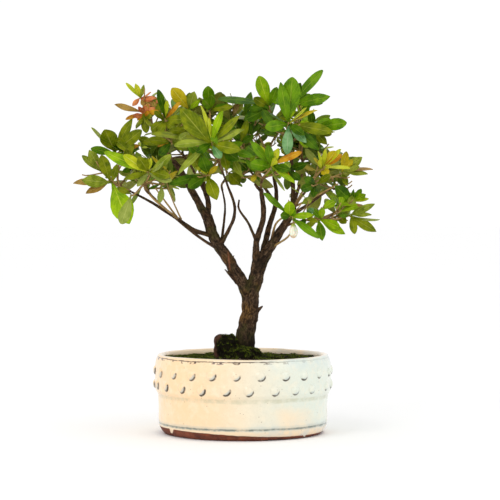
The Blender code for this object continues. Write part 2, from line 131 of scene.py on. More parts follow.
bpy.ops.mesh.primitive_circle_add(vertices=POT_FACETS, radius=8 * MM, fill_type="NOTHING")
pot = name_piece("thrown_pot")
bpy.ops.object.mode_set(mode="EDIT")
bpy.ops.mesh.select_all(action="SELECT")
was = (8, 0)
for ring in list(POT_WALL) + BELLY + list(POT_LIP) + [(8, 6.5)]:
    bpy.ops.mesh.extrude_region_move(TRANSFORM_OT_translate={"value": (0, 0, (ring[1] - was[1]) * MM)})
    share = ring[0] / was[0]
    bpy.ops.transform.resize(value=(share, share, 1), center_override=(0, 0, 0))
    was = ring
bpy.ops.mesh.edge_face_add()
bpy.ops.mesh.select_all(action="DESELECT")
bpy.ops.mesh.select_non_manifold()
bpy.ops.mesh.edge_face_add()
bpy.ops.mesh.select_all(action="SELECT")
bpy.ops.mesh.normals_make_consistent(inside=False)
bpy.ops.object.mode_set(mode="OBJECT")
uneven(pot, 38, 1.3)

# Each stud is a pressed-on pellet of clay, rounded by its glaze, which broke dark in the angle under it.
# The dark crescent round each stud's lower right is that break and also painted shadow, beside a painted
# pale blue-grey shade. No two sit quite alike.
hand = np.random.default_rng(11)
spots = points_of(pot)
radius = np.hypot(spots[:, 0], spots[:, 1])
turn = np.arctan2(spots[:, 1], spots[:, 0])
lift, break_and_shadow, stud_shade = np.zeros((3, len(spots)))
on_wall = (radius > 79 * MM) & (spots[:, 2] > 38 * MM) & (spots[:, 2] < 69 * MM)
for row, height in enumerate(STUD_ROWS):
    for number in range(STUDS_PER_ROW):
        slip, drop, wide, tall, dark = hand.uniform(-1, 1, 5)
        angle = math.tau * (number + row / 2) / STUDS_PER_ROW + slip * STUD_SLIP
        aside = (turn - angle + math.pi) % math.tau - math.pi
        across = aside * radius / MM
        above = spots[:, 2] / MM - height - drop * STUD_DROP
        reach = STUD_RADIUS * (1 + 0.07 * wide)
        far = np.hypot(across, above) / reach
        near = on_wall & (far < 1.5)
        far, across, above = far[near], across[near], above[near]
        dome = np.clip(1 - far ** 2, 0, 1) ** 0.5 * STUD_LIFT * (1 + 0.12 * tall)
        lift[near] = np.maximum(lift[near], dome)
        # lean: how far a point lies towards the stud's lower right, where the painted shadow and shade fall
        lean = across * (0.55 - 0.5 * np.cos(turn[near])) - above * 0.8
        lean /= np.maximum(far * reach, 0.01)
        ring = np.exp(-((far - 1.02) / 0.17) ** 2)
        break_and_shadow_edge = ring * np.clip(lean * 2 - 0.4, 0, 1) * (0.75 + 0.25 * dark)
        stud_shade_spot = np.clip(lean, 0, 1) * np.exp(-((far - 0.75) / 0.35) ** 2)
        break_and_shadow[near] = np.maximum(break_and_shadow[near], break_and_shadow_edge)
        stud_shade[near] = np.maximum(stud_shade[near], stud_shade_spot)
spots[:, :2] *= (1 + lift * MM / np.maximum(radius, MM))[:, None]
spots[:, 2] = np.maximum(spots[:, 2], 0)
move_points(pot, spots)

drains = []
for number in range(DRAIN_HOLES):
    angle = math.tau * (number / DRAIN_HOLES + 0.25)
    bpy.ops.mesh.primitive_cylinder_add(vertices=48, radius=DRAIN_RADIUS * MM, depth=30 * MM, location=(
        DRAIN_RING * MM * math.cos(angle), DRAIN_RING * MM * math.sin(angle), 0))
    drains.append(bpy.context.object)
select_only(*drains)
bpy.ops.object.join()
drain = bpy.context.object
note_on(pot, "break_and_shadow", break_and_shadow)
note_on(pot, "stud_shade", stud_shade)
apply_modifier(pot, "BOOLEAN", object=drain, operation="DIFFERENCE", solver="MANIFOLD")
bpy.data.objects.remove(drain)
select_only(pot)
bpy.ops.object.shade_smooth_by_angle(angle=math.radians(50))


def chip(red, green, blue):
    """A colour as a paint chip reads it, 0 to 255, made linear."""
    shares = [value / 255 for value in (red, green, blue)]
    linear = [share / 12.92 if share < 0.0404 else ((share + 0.055) / 1.055) ** 2.4 for share in shares]
    return (*linear, 1)


def new_finish(name, **plain):
    """A material with plain values on its Principled shader, that shader, and the object's coordinates."""
    finish = bpy.data.materials.new(name)
    finish.use_nodes = True
    shader = finish.node_tree.nodes["Principled BSDF"]
    for key, value in plain.items():
        shader.inputs[key.replace("_", " ")].default_value = value
    place = finish.node_tree.nodes.new("ShaderNodeTexCoord").outputs["Object"]
    return finish, shader, place


def noted(beside, name, output="Fac"):
    """What a piece keeps for each vertex, read in the same material as another socket."""
    made = beside.id_data.nodes.new("ShaderNodeAttribute")
    made.attribute_name = name
    return made.outputs[output]


def step(kind, inputs, **settings):
    """A new node beside those that feed it: its sockets take plain values or other nodes' sockets."""
    tree = next(value.id_data for value in inputs.values() if isinstance(value, bpy.types.NodeSocket))
    made = tree.nodes.new("ShaderNode" + kind)
    for key, value in settings.items():
        setattr(made, key, value)
    for key, value in inputs.items():
        if isinstance(value, bpy.types.NodeSocket):
            tree.links.new(value, made.inputs[key])
        else:
            made.inputs[key].default_value = value
    return made


def reckon(operation, *values):
    return step("Math", dict(enumerate(values)), operation=operation).outputs[0]


def fade(value, low, high, to_low=0, to_high=1):
    """A soft step from to_low to to_high as value passes from low to high."""
    sockets = {0: value, 1: low, 2: high, 3: to_low, 4: to_high}
    return step("MapRange", sockets, interpolation_type="SMOOTHSTEP").outputs[0]


def grainy(place, size, detail=2.0, roughness=0.5):
    """Noise with features of about size mm."""
    sockets = {"Vector": place, "Scale": 1 / (size * MM), "Detail": detail, "Roughness": roughness}
    return step("TexNoise", sockets).outputs["Fac"]


def stretched(place, scale):
    return step("Mapping", {0: place, 3: scale}).outputs[0]


def blend_colours(share, first, second):
    return step("Mix", {0: share, 6: first, 7: second}, data_type="RGBA").outputs[2]


def coat(colour, share, paint):
    """A colour with a share of paint, a chip's numbers, over it."""
    return blend_colours(share, colour, chip(*paint))


def raised(height, distance, after=None):
    """Bump of a height, in mm of relief, on top of another."""
    sockets = {"Height": height, "Distance": distance * MM, "Strength": 1.0}
    if after is not None:
        sockets["Normal"] = after
    return step("Bump", sockets).outputs["Normal"]


def wire(shader, **sockets):
    for key, value in sockets.items():
        value.id_data.links.new(value, shader.inputs[key.replace("_", " ")])


# The glaze is a thick cream with iron specks. Its colour runs from warm on the left to cool on the right,
# painted light: warm light on the one side, cool light on the other.
# On the cool side it turns bluish near the rim and foot. It breaks brown on the lip and in the cut line,
# and stops short of the foot in a rolled edge.
glaze, shader, place = new_finish("cream_glaze", Coat_Roughness=0.06, Specular_IOR_Level=0.5)
x, y, z = step("SeparateXYZ", {0: place}).outputs
cloud = grainy(place, 34, 3)
mottle = grainy(place, 7, 4, 0.62)
fine = grainy(place, 1.6, 3, 0.6)
wander = grainy(place, 15, 4, 0.6)
# Painted light: warm on the left and cool on the right, by where a point lies across the pot.
cool_lit_side = fade(reckon("MULTIPLY_ADD", cloud, 20 * MM, x), -52 * MM, 78 * MM)
colour = blend_colours(cool_lit_side, chip(249, 213, 167), chip(223, 230, 217))
colour = coat(colour, fade(mottle, 0.42, 0.72, 0, 0.4), (246, 234, 208))
colour = coat(colour, fade(fine, 0.5, 0.75, 0, 0.16), (190, 176, 140))
radius = reckon("SQRT", reckon("ADD", reckon("MULTIPLY", x, x), reckon("MULTIPLY", y, y)))
outside = fade(radius, 79.5 * MM, 80.6 * MM)
colour = coat(colour, reckon("SUBTRACT", 1.0, outside), (248, 222, 186))
# Painted shade: a pale blue-grey over the lower right of each stud.
shaded = noted(place, "stud_shade")
colour = coat(colour, fade(shaded, 0.25, 0.9, 0, 0.6), (176, 192, 194))
blue_rim = reckon("MULTIPLY", fade(z, 60 * MM, 72 * MM), fade(cool_lit_side, 0.55, 0.95, 0, 0.4))
blue_foot = reckon("MULTIPLY", fade(z, 20 * MM, 8 * MM), fade(cool_lit_side, 0.3, 0.9, 0.08, 0.5))
bluish = reckon("MULTIPLY", reckon("MAXIMUM", blue_rim, blue_foot), fade(wander, 0.35, 0.6))
colour = coat(colour, bluish, (190, 208, 214))


def line_round(height, half, strength):
    """A line round the pot at a height, thinned and lost in places by the wandering noise."""
    middle = reckon("MULTIPLY_ADD", wander, 2.2 * MM, height - 1.1 * MM)
    off = reckon("ABSOLUTE", reckon("SUBTRACT", z, middle))
    return reckon("MULTIPLY", fade(off, half, half * 0.25), fade(grainy(place, 9, 5, 0.7), *strength))


colour = coat(colour, line_round(FOOT_LINE + 0.3 * MM, 3.4 * MM, (0.3, 0.6, 0.15, 0.5)), (184, 194, 186))
colour = coat(colour, line_round(FOOT_LINE - 0.3 * MM, 1.5 * MM, (0.36, 0.56, 0.3, 0.85)), (112, 126, 120))
colour = coat(colour, line_round(WAIST_LINE, 3 * MM, (0.36, 0.62, 0.12, 0.5)), (186, 184, 150))
fine_line = line_round(LIP_LINE + 0.4 * MM, 0.7 * MM, (0.36, 0.50, 0.45, 0.95))
dashes = line_round(LIP_LINE - 0.4 * MM, 1.9 * MM, (0.53, 0.57, 0.0, 0.95))
worn = reckon("MULTIPLY", reckon("MAXIMUM", fine_line, dashes), fade(cool_lit_side, 1.0, 0.6, 0.25, 1))
colour = coat(colour, reckon("MULTIPLY", worn, outside), (70, 46, 32))
speck = step("TexVoronoi", {"Vector": place, "Scale": 1 / (5.5 * MM)}).outputs["Distance"]
colour = coat(colour, fade(speck, 0.085, 0.05, 0, 0.75), (126, 84, 52))
# Painted shadow with the glaze's dark break: a dark crescent round the lower right of each stud.
stud_break_and_shadow = noted(place, "break_and_shadow")
break_and_shadow_share = reckon("MULTIPLY", fade(stud_break_and_shadow, 0.1, 0.55), fade(grainy(place, 2.6, 3), 0.3, 0.5, 0.5, 1))
colour = coat(colour, break_and_shadow_share, (70, 60, 48))
run = grainy(stretched(place, (1, 1, 0.2)), 7, 1)
drips = reckon("MULTIPLY", fade(run, 0.60, 0.72, 0, 3.5 * MM), fade(y, 0, 30 * MM))
for across, half, drop in ((-66.4, 2.2, 4.2), (57, 1.4, 2.0)):
    near = reckon("ABSOLUTE", reckon("SUBTRACT", x, across * MM))
    drips = reckon("MAXIMUM", drips, fade(near, half * MM, half * 0.3 * MM, 0, drop * MM))
edge = reckon("ADD", fade(x, 65 * MM, -70 * MM, 1.8 * MM, 6.6 * MM), reckon("MULTIPLY", mottle, 1.2 * MM))
edge = reckon("SUBTRACT", edge, drips)
underside = fade(z, 0.2 * MM, 0.1 * MM)
bare = reckon("MAXIMUM", fade(reckon("SUBTRACT", z, edge), 0.4 * MM, 0), underside)
clay = blend_colours(fade(mottle, 0.3, 0.7), chip(84, 38, 24), chip(132, 68, 42))
colour = blend_colours(bare, colour, clay)
rolled = reckon("SUBTRACT", reckon("MULTIPLY", wander, 0.5), bare)
bumps = raised(rolled, 0.35, raised(fine, 0.10, raised(mottle, 0.35)))
wire(shader, Base_Color=colour, Roughness=fade(bare, 0, 1, 0.2, 0.85),
     Coat_Weight=fade(bare, 0, 1, 0.35, 0), Normal=bumps)
pot.data.materials.clear()
pot.data.materials.append(glaze)
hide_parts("pot")
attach(pot, "root")

# ---- The soil
# Dark crumbly potting earth, pressed a little below the rim, with pale grit mixed in.
SOIL_TOP = 69.6
SOIL_REACH = 75.0
SOIL_DEPTH = 20
bpy.ops.mesh.primitive_grid_add(x_subdivisions=110, y_subdivisions=110, size=2)
soil = name_piece("potting_soil")
spots = points_of(soil)
square = np.abs(spots[:, :2]).max(axis=1)
long = np.maximum(np.hypot(spots[:, 0], spots[:, 1]), 1e-6)
spots[:, :2] *= (square / long * SOIL_REACH * MM)[:, None]
spots[:, 2] = SOIL_TOP * MM
move_points(soil, spots)
bpy.ops.object.mode_set(mode="EDIT")
bpy.ops.mesh.select_all(action="DESELECT")
bpy.ops.mesh.select_non_manifold()
bpy.ops.mesh.extrude_region_move(TRANSFORM_OT_translate={"value": (0, 0, -SOIL_DEPTH * MM)})
bpy.ops.mesh.edge_face_add()
bpy.ops.mesh.select_all(action="SELECT")
bpy.ops.mesh.normals_make_consistent(inside=False)
bpy.ops.object.mode_set(mode="OBJECT")


def waver(x, y, z, size):
    """Smooth noise from -1 to 1, with features of about size."""
    return noise.noise(Vector((x, y, z)) / size)


def ground_height(px, py):
    """Height of the earth in mm over a point: it rises to the trunk and is crumbly all over."""
    swell = 2.6 * math.exp(-((px + 4) ** 2 + (py + 2) ** 2) / 900)
    return SOIL_TOP + swell + (waver(px, py, 0, 9) + waver(px, py, 5, 2.2) * 0.55)


spots = points_of(soil)
for number, (px, py, pz) in enumerate(spots):
    if pz > (SOIL_TOP - 1) * MM and math.hypot(px, py) < (SOIL_REACH - 0.1) * MM:
        spots[number, 2] = ground_height(px / MM, py / MM) * MM
move_points(soil, spots)
bpy.ops.object.shade_smooth_by_angle(angle=math.radians(60))

earth, shader, place = new_finish("damp_earth", Roughness=0.95, Specular_IOR_Level=0.2)
crumb = grainy(place, 1.1, 5, 0.7)
patch = grainy(place, 12, 3)
colour = blend_colours(fade(crumb, 0.35, 0.7), chip(16, 10, 7), chip(52, 38, 26))
colour = coat(colour, fade(patch, 0.54, 0.66, 0, 0.4), (34, 38, 12))
wire(shader, Base_Color=colour, Normal=raised(crumb, 0.8))
soil.data.materials.append(earth)
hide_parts("soil")
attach(soil, "root")

# Crumbs of earth and a few pale grains of grit lie loose on top.
CRUMBS = 2600
GRIT = 120


def linked(name, data):
    obj = bpy.data.objects.new(name, data)
    bpy.context.scene.collection.objects.link(obj)
    return obj


def mesh_piece(name, spots, faces, corner_uv, slots=None):
    """A piece made of arrays: points, faces by their points, a UV for each corner, material slots."""
    mesh = bpy.data.meshes.new(name)
    mesh.from_pydata(spots.tolist(), [], faces)
    mesh.uv_layers.new(name="UVMap").data.foreach_set("uv", corner_uv.ravel())
    if slots:
        mesh.polygons.foreach_set("material_index", slots)
    obj = linked(name, mesh)
    select_only(obj)
    return obj


def scattered(name, blank, placings):
    """Copies of one small blank, each with its own mesh, joined: placings are 4 x 4 matrices."""
    base = points_of(blank)
    faces = [tuple(face.vertices) for face in blank.data.polygons]
    corner_uv = np.array([tuple(loop.uv) for loop in blank.data.uv_layers.active.data])
    moves = np.array([[list(row) for row in placing] for placing in placings])
    spots = np.einsum("nij,vj->nvi", moves[:, :3, :3], base) + moves[:, None, :3, 3]
    starts = range(0, len(placings) * len(base), len(base))
    every = [tuple(corner + start for corner in face) for start in starts for face in faces]
    return mesh_piece(name, spots.reshape(-1, 3), every, np.tile(corner_uv, (len(placings), 1)))


def ground_spots(seed, count, inner=0, outer=73):
    """Points spread over the earth inside the pot, in mm."""
    dice = random.Random(seed)
    made = []
    while len(made) < count:
        angle = dice.uniform(0, math.tau)
        away = math.sqrt(dice.uniform(inner ** 2, outer ** 2))
        px, py = away * math.cos(angle), away * math.sin(angle)
        made.append((px, py, ground_height(px, py), dice))
    return made


def pebbles(name, count, seed, small, large, finish):
    """Small rounded grains on the earth, from small to large in mm."""
    bpy.ops.mesh.primitive_ico_sphere_add(subdivisions=1, radius=0.5)
    blank = name_piece("blank")
    placings = []
    for px, py, pz, dice in ground_spots(seed, count):
        size = dice.uniform(small, large) * MM
        turned = Matrix.Rotation(dice.uniform(0, 6), 4, (dice.random(), dice.random(), 1))
        flat = Matrix.Diagonal((size * dice.uniform(0.8, 1.3), size, size * dice.uniform(0.6, 0.9), 1))
        placings.append(Matrix.Translation((px * MM, py * MM, pz * MM)) @ turned @ flat)
    obj = scattered(name, blank, placings)
    bpy.data.objects.remove(blank)
    obj.data.materials.append(finish)
    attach(obj, "root")


grit, shader, place = new_finish("pale_grit", Roughness=0.8)
colour = blend_colours(fade(grainy(place, 3), 0.4, 0.6), chip(150, 128, 100), chip(205, 190, 165))
wire(shader, Base_Color=colour, Normal=raised(grainy(place, 0.5, 4), 0.2))
pebbles("earth_crumbs", CRUMBS, 5, 0.7, 2.0, earth)
pebbles("grit_grains", GRIT, 6, 0.9, 1.9, grit)

# ---- The old stump
# A dead stub of the first stem beside the trunk, rounded over with age, its bark worn off.
STUMP_FOOT = (-21.5, -1)
STUMP_RADIUS = 6.2
STUMP_LOW = 66  # it stands in the soil down to here
STUMP_TOP = 93
STUMP_ROUNDING = 4.6
WOOD_VOXEL = 0.55 * MM
bpy.ops.object.select_all(action="DESELECT")
middle = (STUMP_FOOT[0] * MM, STUMP_FOOT[1] * MM, (STUMP_TOP + STUMP_LOW) / 2 * MM)
bpy.ops.mesh.primitive_cylinder_add(vertices=40, radius=STUMP_RADIUS * MM,
                                    depth=(STUMP_TOP - STUMP_LOW) * MM, location=middle)
stump = name_piece("old_stump")
bpy.ops.object.transform_apply(location=True, rotation=True, scale=True)
apply_modifier(stump, "BEVEL", width=STUMP_ROUNDING * MM, segments=8, limit_method="ANGLE",
               angle_limit=math.radians(60))
apply_modifier(stump, "REMESH", mode="VOXEL", voxel_size=WOOD_VOXEL)
spots = points_of(stump)
for number, spot in enumerate(spots):
    px, py, pz = spot / MM
    furrow = waver(px, py, pz * 0.3, 1.8) * 0.45 + waver(px, py, pz, 7) * 1.1
    away = Vector((px - STUMP_FOOT[0], py - STUMP_FOOT[1], 0.25 * max(0, pz - STUMP_TOP + 6)))
    spots[number] += np.array(away.normalized()) * furrow * MM
move_points(stump, spots)
bpy.ops.object.shade_smooth()

old_wood, shader, place = new_finish("weathered_wood", Roughness=0.85, Specular_IOR_Level=0.25)
grain = grainy(stretched(place, (1, 1, 0.18)), 1.6, 5, 0.65)
worn = grainy(place, 6, 3)
colour = blend_colours(fade(grain, 0.3, 0.7), chip(38, 22, 15), chip(96, 62, 44))
colour = coat(colour, fade(worn, 0.5, 0.64, 0, 0.7), (20, 14, 10))
wire(shader, Base_Color=colour, Normal=raised(grain, 0.7))
stump.data.materials.clear()
stump.data.materials.append(old_wood)
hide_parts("stump")
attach(stump, "root")

# ---- Trunk and boughs
# One leaning trunk with a low fork. The boughs were pruned to draw them out sideways, and
# each leaves a small collar and here and there a healed stub. Bark runs along the limbs.
PATH_STEP = 10
LIMBS = (  # name, foot and tip radius, way-points, all in mm
    ("trunk", 9.6, 7.4, ((2.6, 0, 69.9), (2.6, 0, 76), (2.2, 0, 92), (6.4, 0, 114), (6.9, 0, 138))),
    ("left_main", 5.8, 5.0, ((5.2, 0, 131), (0, 0, 141), (-15.2, 0, 166), (-28, 0, 186), (-34.2, 3, 206))),
    ("left_outer", 4.0, 2.4, ((-33.8, 3, 203), (-43.8, 3, 220.7), (-59.4, 4, 248.8), (-66.3, 6, 258))),
    ("left_inner", 3.0, 2.0, ((-33.8, 3, 203), (-33.3, 11, 218), (-37, 20, 232), (-39, 26, 243))),
    ("low_left", 2.4, 1.0, ((-29, 0, 187), (-46, -9, 192), (-63, -16, 203.7), (-87, -22, 219),
                            (-107, -26, 229.5))),
    ("low_left_back", 1.6, 0.9, ((-22, 0, 173), (-40, 9, 184), (-62, 15, 201), (-85.7, 24, 222.7))),
    ("left_twig", 1.1, 0.8, ((-60, -15, 202), (-68, -22, 208.5), (-82, -29, 220), (-89.5, -33, 228.5))),
    ("middle_twig", 1.5, 0.9, ((-21, 0, 180), (-19.5, 6, 189), (-17.3, 18, 214), (-20.4, 28, 232))),
    ("middle_shoot", 2.0, 1.0, ((-21, 0, 178), (-9.3, -12, 201.8), (-8.1, -20, 216.2), (-13.5, -28, 232),
                                (-19, -35, 246.7))),
    ("right_main", 7.2, 5.8, ((7.0, 0, 131), (10.7, 0, 141), (14, 0, 154), (19.9, 0, 169.4))),
    ("right_inner", 3.2, 2.2, ((14, 0, 160), (12.5, -7, 180), (19.3, -14, 205), (17.1, -20, 231))),
    ("bare_twig", 1.5, 1.0, ((12.6, -7, 181.5), (5, -13, 199), (-3.8, -18, 212), (-3.5, -20, 221))),
    ("right_middle", 3.2, 1.6, ((18, 0, 166), (24.3, 17, 193), (32, 31, 221), (29, 44, 250))),
    ("right_outer", 4.9, 3.2, ((19.4, 0, 167), (26.5, -2, 177), (42.6, -6, 202.7), (47.8, -5, 213.5))),
    ("right_rise", 2.6, 1.6, ((47.2, -5, 212), (47.6, -1, 225), (46.8, 4, 247.4), (45.7, 6, 262))),
    ("right_spread", 2.0, 1.1, ((43.4, -6, 205), (60, 12, 215), (82.7, 28, 230.9))),
    ("right_young", 1.3, 0.9, ((47.5, -5, 211), (52, -8, 219), (57.1, -11, 226))),
    ("right_side", 1.3, 0.8, ((26.5, -2, 181), (31, -12, 198), (40, -24, 206))),
    ("right_low", 1.3, 0.9, ((38, -5, 195), (48, -9, 199), (56.5, -11, 201))),
    ("front_twig", 1.2, 0.8, ((23, -1, 173), (34, -8, 180), (41.5, -12, 185), (46, -20, 191))),
    ("back_left", 1.8, 1.1, ((-35, 16, 226), (-42, 34, 238), (-52, 54, 256))),
    ("back_middle", 1.9, 1.1, ((31, 29, 217), (20, 48, 234), (6, 66, 250))),
    ("back_right", 1.9, 1.1, ((46, -5, 210), (52, 20, 228), (58, 46, 250))),
)
STUBS = (  # pruned stubs, torn spurs and swollen forks: radius at foot and tip, way-points in mm
    (4.2, 0.7, ((9, -3, 108), (12.8, -4, 115), (18.9, -5, 120.2))),
    (2.4, 0.5, ((-5, -2, 143), (-12, -4, 149.4), (-17.6, -5, 155.4))),
    (1.7, 0.5, ((-14, -2, 161.5), (-10.8, -3, 164.6), (-8.4, -4, 168.4))),
    (3.9, 3.2, ((10.4, -1, 144), (11.4, -2, 158), (12.6, -6, 176))),
    (4.6, 4.2, ((13, 0, 144), (18.2, 0, 159), (24, -1, 171))),
    (2.2, 1.5, ((-33, 1, 204), (-37, -2, 208), (-38.5, -3, 211))),
    (1.7, 1.1, ((17.5, -16, 229), (13, -20, 233), (11, -22, 236))),
    (1.8, 1.2, ((15.4, 0, 160), (19, -5, 163), (21, -7, 166))),
)


def smooth_path(points, pace):
    """Catmull-Rom curve through the points, sampled about every pace."""
    ends = [points[0] * 2 - points[1]] + list(points) + [points[-1] * 2 - points[-2]]
    path = []
    for before, start, end, after in zip(ends, ends[1:], ends[2:], ends[3:]):
        count = max(1, round((end - start).length / pace))
        for number in range(count):
            t = number / count
            bend = (before * -1 + start * 3 - end * 3 + after) * t ** 3
            bend += (before * 2 - start * 5 + end * 4 - after) * t ** 2
            path.append((start * 2 + (end - before) * t + bend) / 2)
    return path + [points[-1]]


def drawn_tubes(name, runs, fineness):
    """Tapering tubes with rounded sections, drawn as one curve: runs are lists of (point, radius)."""
    curve = bpy.data.curves.new(name, "CURVE")
    curve.dimensions = "3D"
    curve.use_fill_caps = True
    curve.bevel_depth = 1
    curve.bevel_resolution = fineness
    for run in runs:
        spline = curve.splines.new("POLY")
        spline.points.add(len(run) - 1)
        for bend, (point, radius) in zip(spline.points, run):
            bend.co = (*point, 1)
            bend.radius = radius
    select_only(linked(name, curve))
    bpy.ops.object.convert(target="MESH")
    obj = name_piece(name)
    bpy.ops.object.mode_set(mode="EDIT")
    bpy.ops.mesh.select_all(action="SELECT")
    bpy.ops.mesh.remove_doubles(threshold=0.002 * MM)
    bpy.ops.mesh.normals_make_consistent(inside=False)
    bpy.ops.object.mode_set(mode="OBJECT")
    return obj


KNOT_SWELL = 0.10
KNOT_APART = 7
BEND_APART = 8
COLLAR_REACH = 5
TRUNK_COLLAR = 0.16
LIMB_COLLAR = 0.22
LIMB_WOBBLE = 0.16


def limb_run(points, foot, tip, wobble, collar, seed):
    """Fine points and radii of a limb: slightly crooked, knotty, and swollen where it leaves its parent."""
    path = smooth_path([Vector(point) * MM for point in points], 3 * MM)
    run = []
    along = 0
    for number, point in enumerate(path):
        share = number / (len(path) - 1)
        radius = foot + (tip - foot) * share
        along += (point - path[number - 1]).length / MM if number else 0
        knot = 1 + KNOT_SWELL * waver(along / KNOT_APART, seed, 0, 1)
        swell = 1 + collar * math.exp(-along / COLLAR_REACH)
        bends = [waver(along / BEND_APART, seed, lane, 1) for lane in (3, 9)]
        shake = Vector((*bends, 0))
        ease = min(1, along / BEND_APART, max(0.0, (1 - share) * 6))
        run.append((point + shake * wobble * radius * ease * MM, radius * knot * swell * MM))
    return run


limb_paths = {row[0]: smooth_path([Vector(p) * MM for p in row[3]], PATH_STEP * MM) for row in LIMBS}
runs = {}
for number, (name, foot, tip, points) in enumerate(LIMBS):
    collar = TRUNK_COLLAR if name == "trunk" else LIMB_COLLAR
    runs[name] = limb_run(points, foot, tip, LIMB_WOBBLE, collar, number)


def small_runs(rows, wobble, collar, seed):
    return [limb_run(points, foot, tip, wobble, collar, seed + number)
            for number, (foot, tip, points) in enumerate(rows)]


stub_runs = small_runs(STUBS, 0.1, 0.35, 50)
THICK = ("trunk", "left_main", "left_outer", "left_inner", "low_left", "right_main", "right_inner",
         "right_middle", "right_outer", "right_rise", "middle_shoot", "middle_twig", "bare_twig")
thick_runs = [runs[name] for name in THICK] + stub_runs
wood = drawn_tubes("trunk_and_boughs", thick_runs, 6)
apply_modifier(wood, "REMESH", mode="VOXEL", voxel_size=WOOD_VOXEL)
apply_modifier(wood, "SMOOTH", factor=0.5, iterations=5)


def follow_grain(obj, followed, relief):
    """Raise the bark's furrows along the limbs, and note at each point where it lies on its limb."""
    samples = []
    for run in followed:
        along = 0
        for number, (point, radius) in enumerate(run):
            along += (point - run[number - 1][0]).length if number else 0
            ahead = (run[min(number + 1, len(run) - 1)][0] - run[max(number - 1, 0)][0]).normalized()
            samples.append((point, ahead, along, radius))
    finder = KDTree(len(samples))
    for number, sample in enumerate(samples):
        finder.insert(sample[0], number)
    finder.balance()
    spots = points_of(obj)
    grain = np.zeros((len(spots), 3))
    thickness, height = np.zeros((2, len(spots)))
    for number, spot in enumerate(spots):
        spot = Vector(spot)
        found = finder.find_n(spot, 3)
        point, ahead, along, radius = samples[min(found, key=lambda hit: hit[2] / samples[hit[1]][3])[1]]
        out = spot - point
        along += out.dot(ahead)
        out -= ahead * out.dot(ahead)
        if out.length < 1e-6:
            continue
        side = ahead.orthogonal().normalized()
        angle = math.atan2(out.dot(ahead.cross(side)), out.dot(side))
        around = Vector((math.cos(angle), math.sin(angle), 0)) * radius / MM
        where = around + Vector((0, 0, along / MM))
        grain[number] = where
        thickness[number] = radius / MM
        furrow = 1 - abs(waver(where.x, where.y, where.z * 0.3, 1.7)) * 2.4
        flake = waver(where.x, where.y, where.z * 0.5, 2.8)
        lump = waver(where.x * 0.7, where.y * 0.7, where.z * 0.5, 6)
        height[number] = furrow * 0.26 + flake * 0.5
        deep = min(1, radius / MM / 6) * relief
        spots[number] += np.array(out.normalized()) * (height[number] + lump * 0.7) * deep * MM
    move_points(obj, spots)
    layer = obj.data.attributes.new("grain", "FLOAT_VECTOR", "POINT")
    layer.data.foreach_set("vector", grain.astype(np.float32).ravel())
    note_on(obj, "thickness", thickness)
    note_on(obj, "relief", height)


follow_grain(wood, thick_runs, 1.0)
bpy.ops.object.shade_smooth()

bark, shader, place = new_finish("azalea_bark", Roughness=0.85, Specular_IOR_Level=0.12)
grain = noted(place, "grain", "Vector")
thick = noted(place, "thickness")


def bark_noise(grain, across, stretch, detail, roughness):
    """Noise drawn out along the limb, its features about across mm wide."""
    mapped = stretched(grain, (1 / across, 1 / across, stretch / across))
    sockets = {"Vector": mapped, "Scale": 1.0, "Detail": detail, "Roughness": roughness}
    return step("TexNoise", sockets).outputs["Fac"]


streak = bark_noise(grain, 1.2, 0.3, 5, 0.75)
flake = bark_noise(grain, 2.4, 0.6, 4, 0.65)
blotch = grainy(place, 16, 3)
colour = blend_colours(fade(streak, 0.36, 0.68), chip(34, 23, 14), chip(98, 76, 56))
ochre = fade(grainy(place, 11, 3), 0.5, 0.66, 0, 0.5)
colour = blend_colours(ochre, colour, blend_colours(streak, chip(42, 28, 10), chip(128, 92, 46)))
colour = coat(colour, fade(flake, 0.56, 0.7, 0, 0.5), (128, 106, 86))
colour = coat(colour, fade(flake, 0.46, 0.34, 0, 0.8), (15, 10, 7))
reddish = reckon("MULTIPLY", fade(thick, 4.2, 2.0), fade(blotch, 0.3, 0.6, 0.1, 0.5))
colour = blend_colours(reddish, colour, blend_colours(streak, chip(34, 20, 12), chip(96, 64, 40)))
mossy = reckon("MULTIPLY", fade(blotch, 0.48, 0.62), fade(thick, 2.4, 4.5, 0.3, 0.6))
colour = blend_colours(mossy, colour, blend_colours(streak, chip(30, 28, 10), chip(84, 82, 38)))
# Painted shade: the low points of the bark's relief are darkened, as shade in its furrows.
low = noted(place, "relief")
colour = coat(colour, fade(low, 0.10, -0.2, 0, 0.7), (14, 10, 7))


def patch_at(point, wide, strength):
    """A soft patch about a point, as wide as given in mm, with flaky edges."""
    gap = step("VectorMath", {0: place, 1: [v * MM for v in point]}, operation="DISTANCE").outputs["Value"]
    gap = reckon("MULTIPLY_ADD", flake, 12 * MM, gap)
    return fade(gap, (wide + 6) * MM, (wide * 0.35 + 6) * MM, 0, strength)


# An ochre patch on the trunk's front, painted shadow in the hollow under the right fork, and the trunk
# darker about its foot.
rusty = blend_colours(fade(streak, 0.40, 0.62), chip(44, 28, 10), chip(148, 108, 52))
colour = blend_colours(patch_at((0, -7, 115), 13, 0.55), colour, rusty)
colour = coat(colour, patch_at((18, -5, 160), 10, 0.7), (20, 15, 9))
colour = coat(colour, patch_at((9, -4, 74), 26, 0.85), (22, 16, 11))
x, y, z = step("SeparateXYZ", {0: place}).outputs
aside = reckon("ABSOLUTE", reckon("MULTIPLY_ADD", z, 0.1, reckon("SUBTRACT", x, 3 * MM)))
torn = reckon("MULTIPLY", fade(aside, 1.1 * MM, 0.5 * MM), fade(y, -1 * MM, -3 * MM))
torn = reckon("MULTIPLY", torn, fade(streak, 0.4, 0.5, 0.4, 1))
above = reckon("ABSOLUTE", reckon("SUBTRACT", z, 163 * MM))
torn = reckon("MULTIPLY", torn, fade(above, 10 * MM, 7 * MM))
colour = coat(colour, reckon("MULTIPLY", torn, 0.8), (128, 82, 58))
wire(shader, Base_Color=colour, Normal=raised(streak, 0.6, raised(flake, 0.7)))
wood.data.materials.clear()
wood.data.materials.append(bark)
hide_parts(*THICK)
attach(wood, "root")

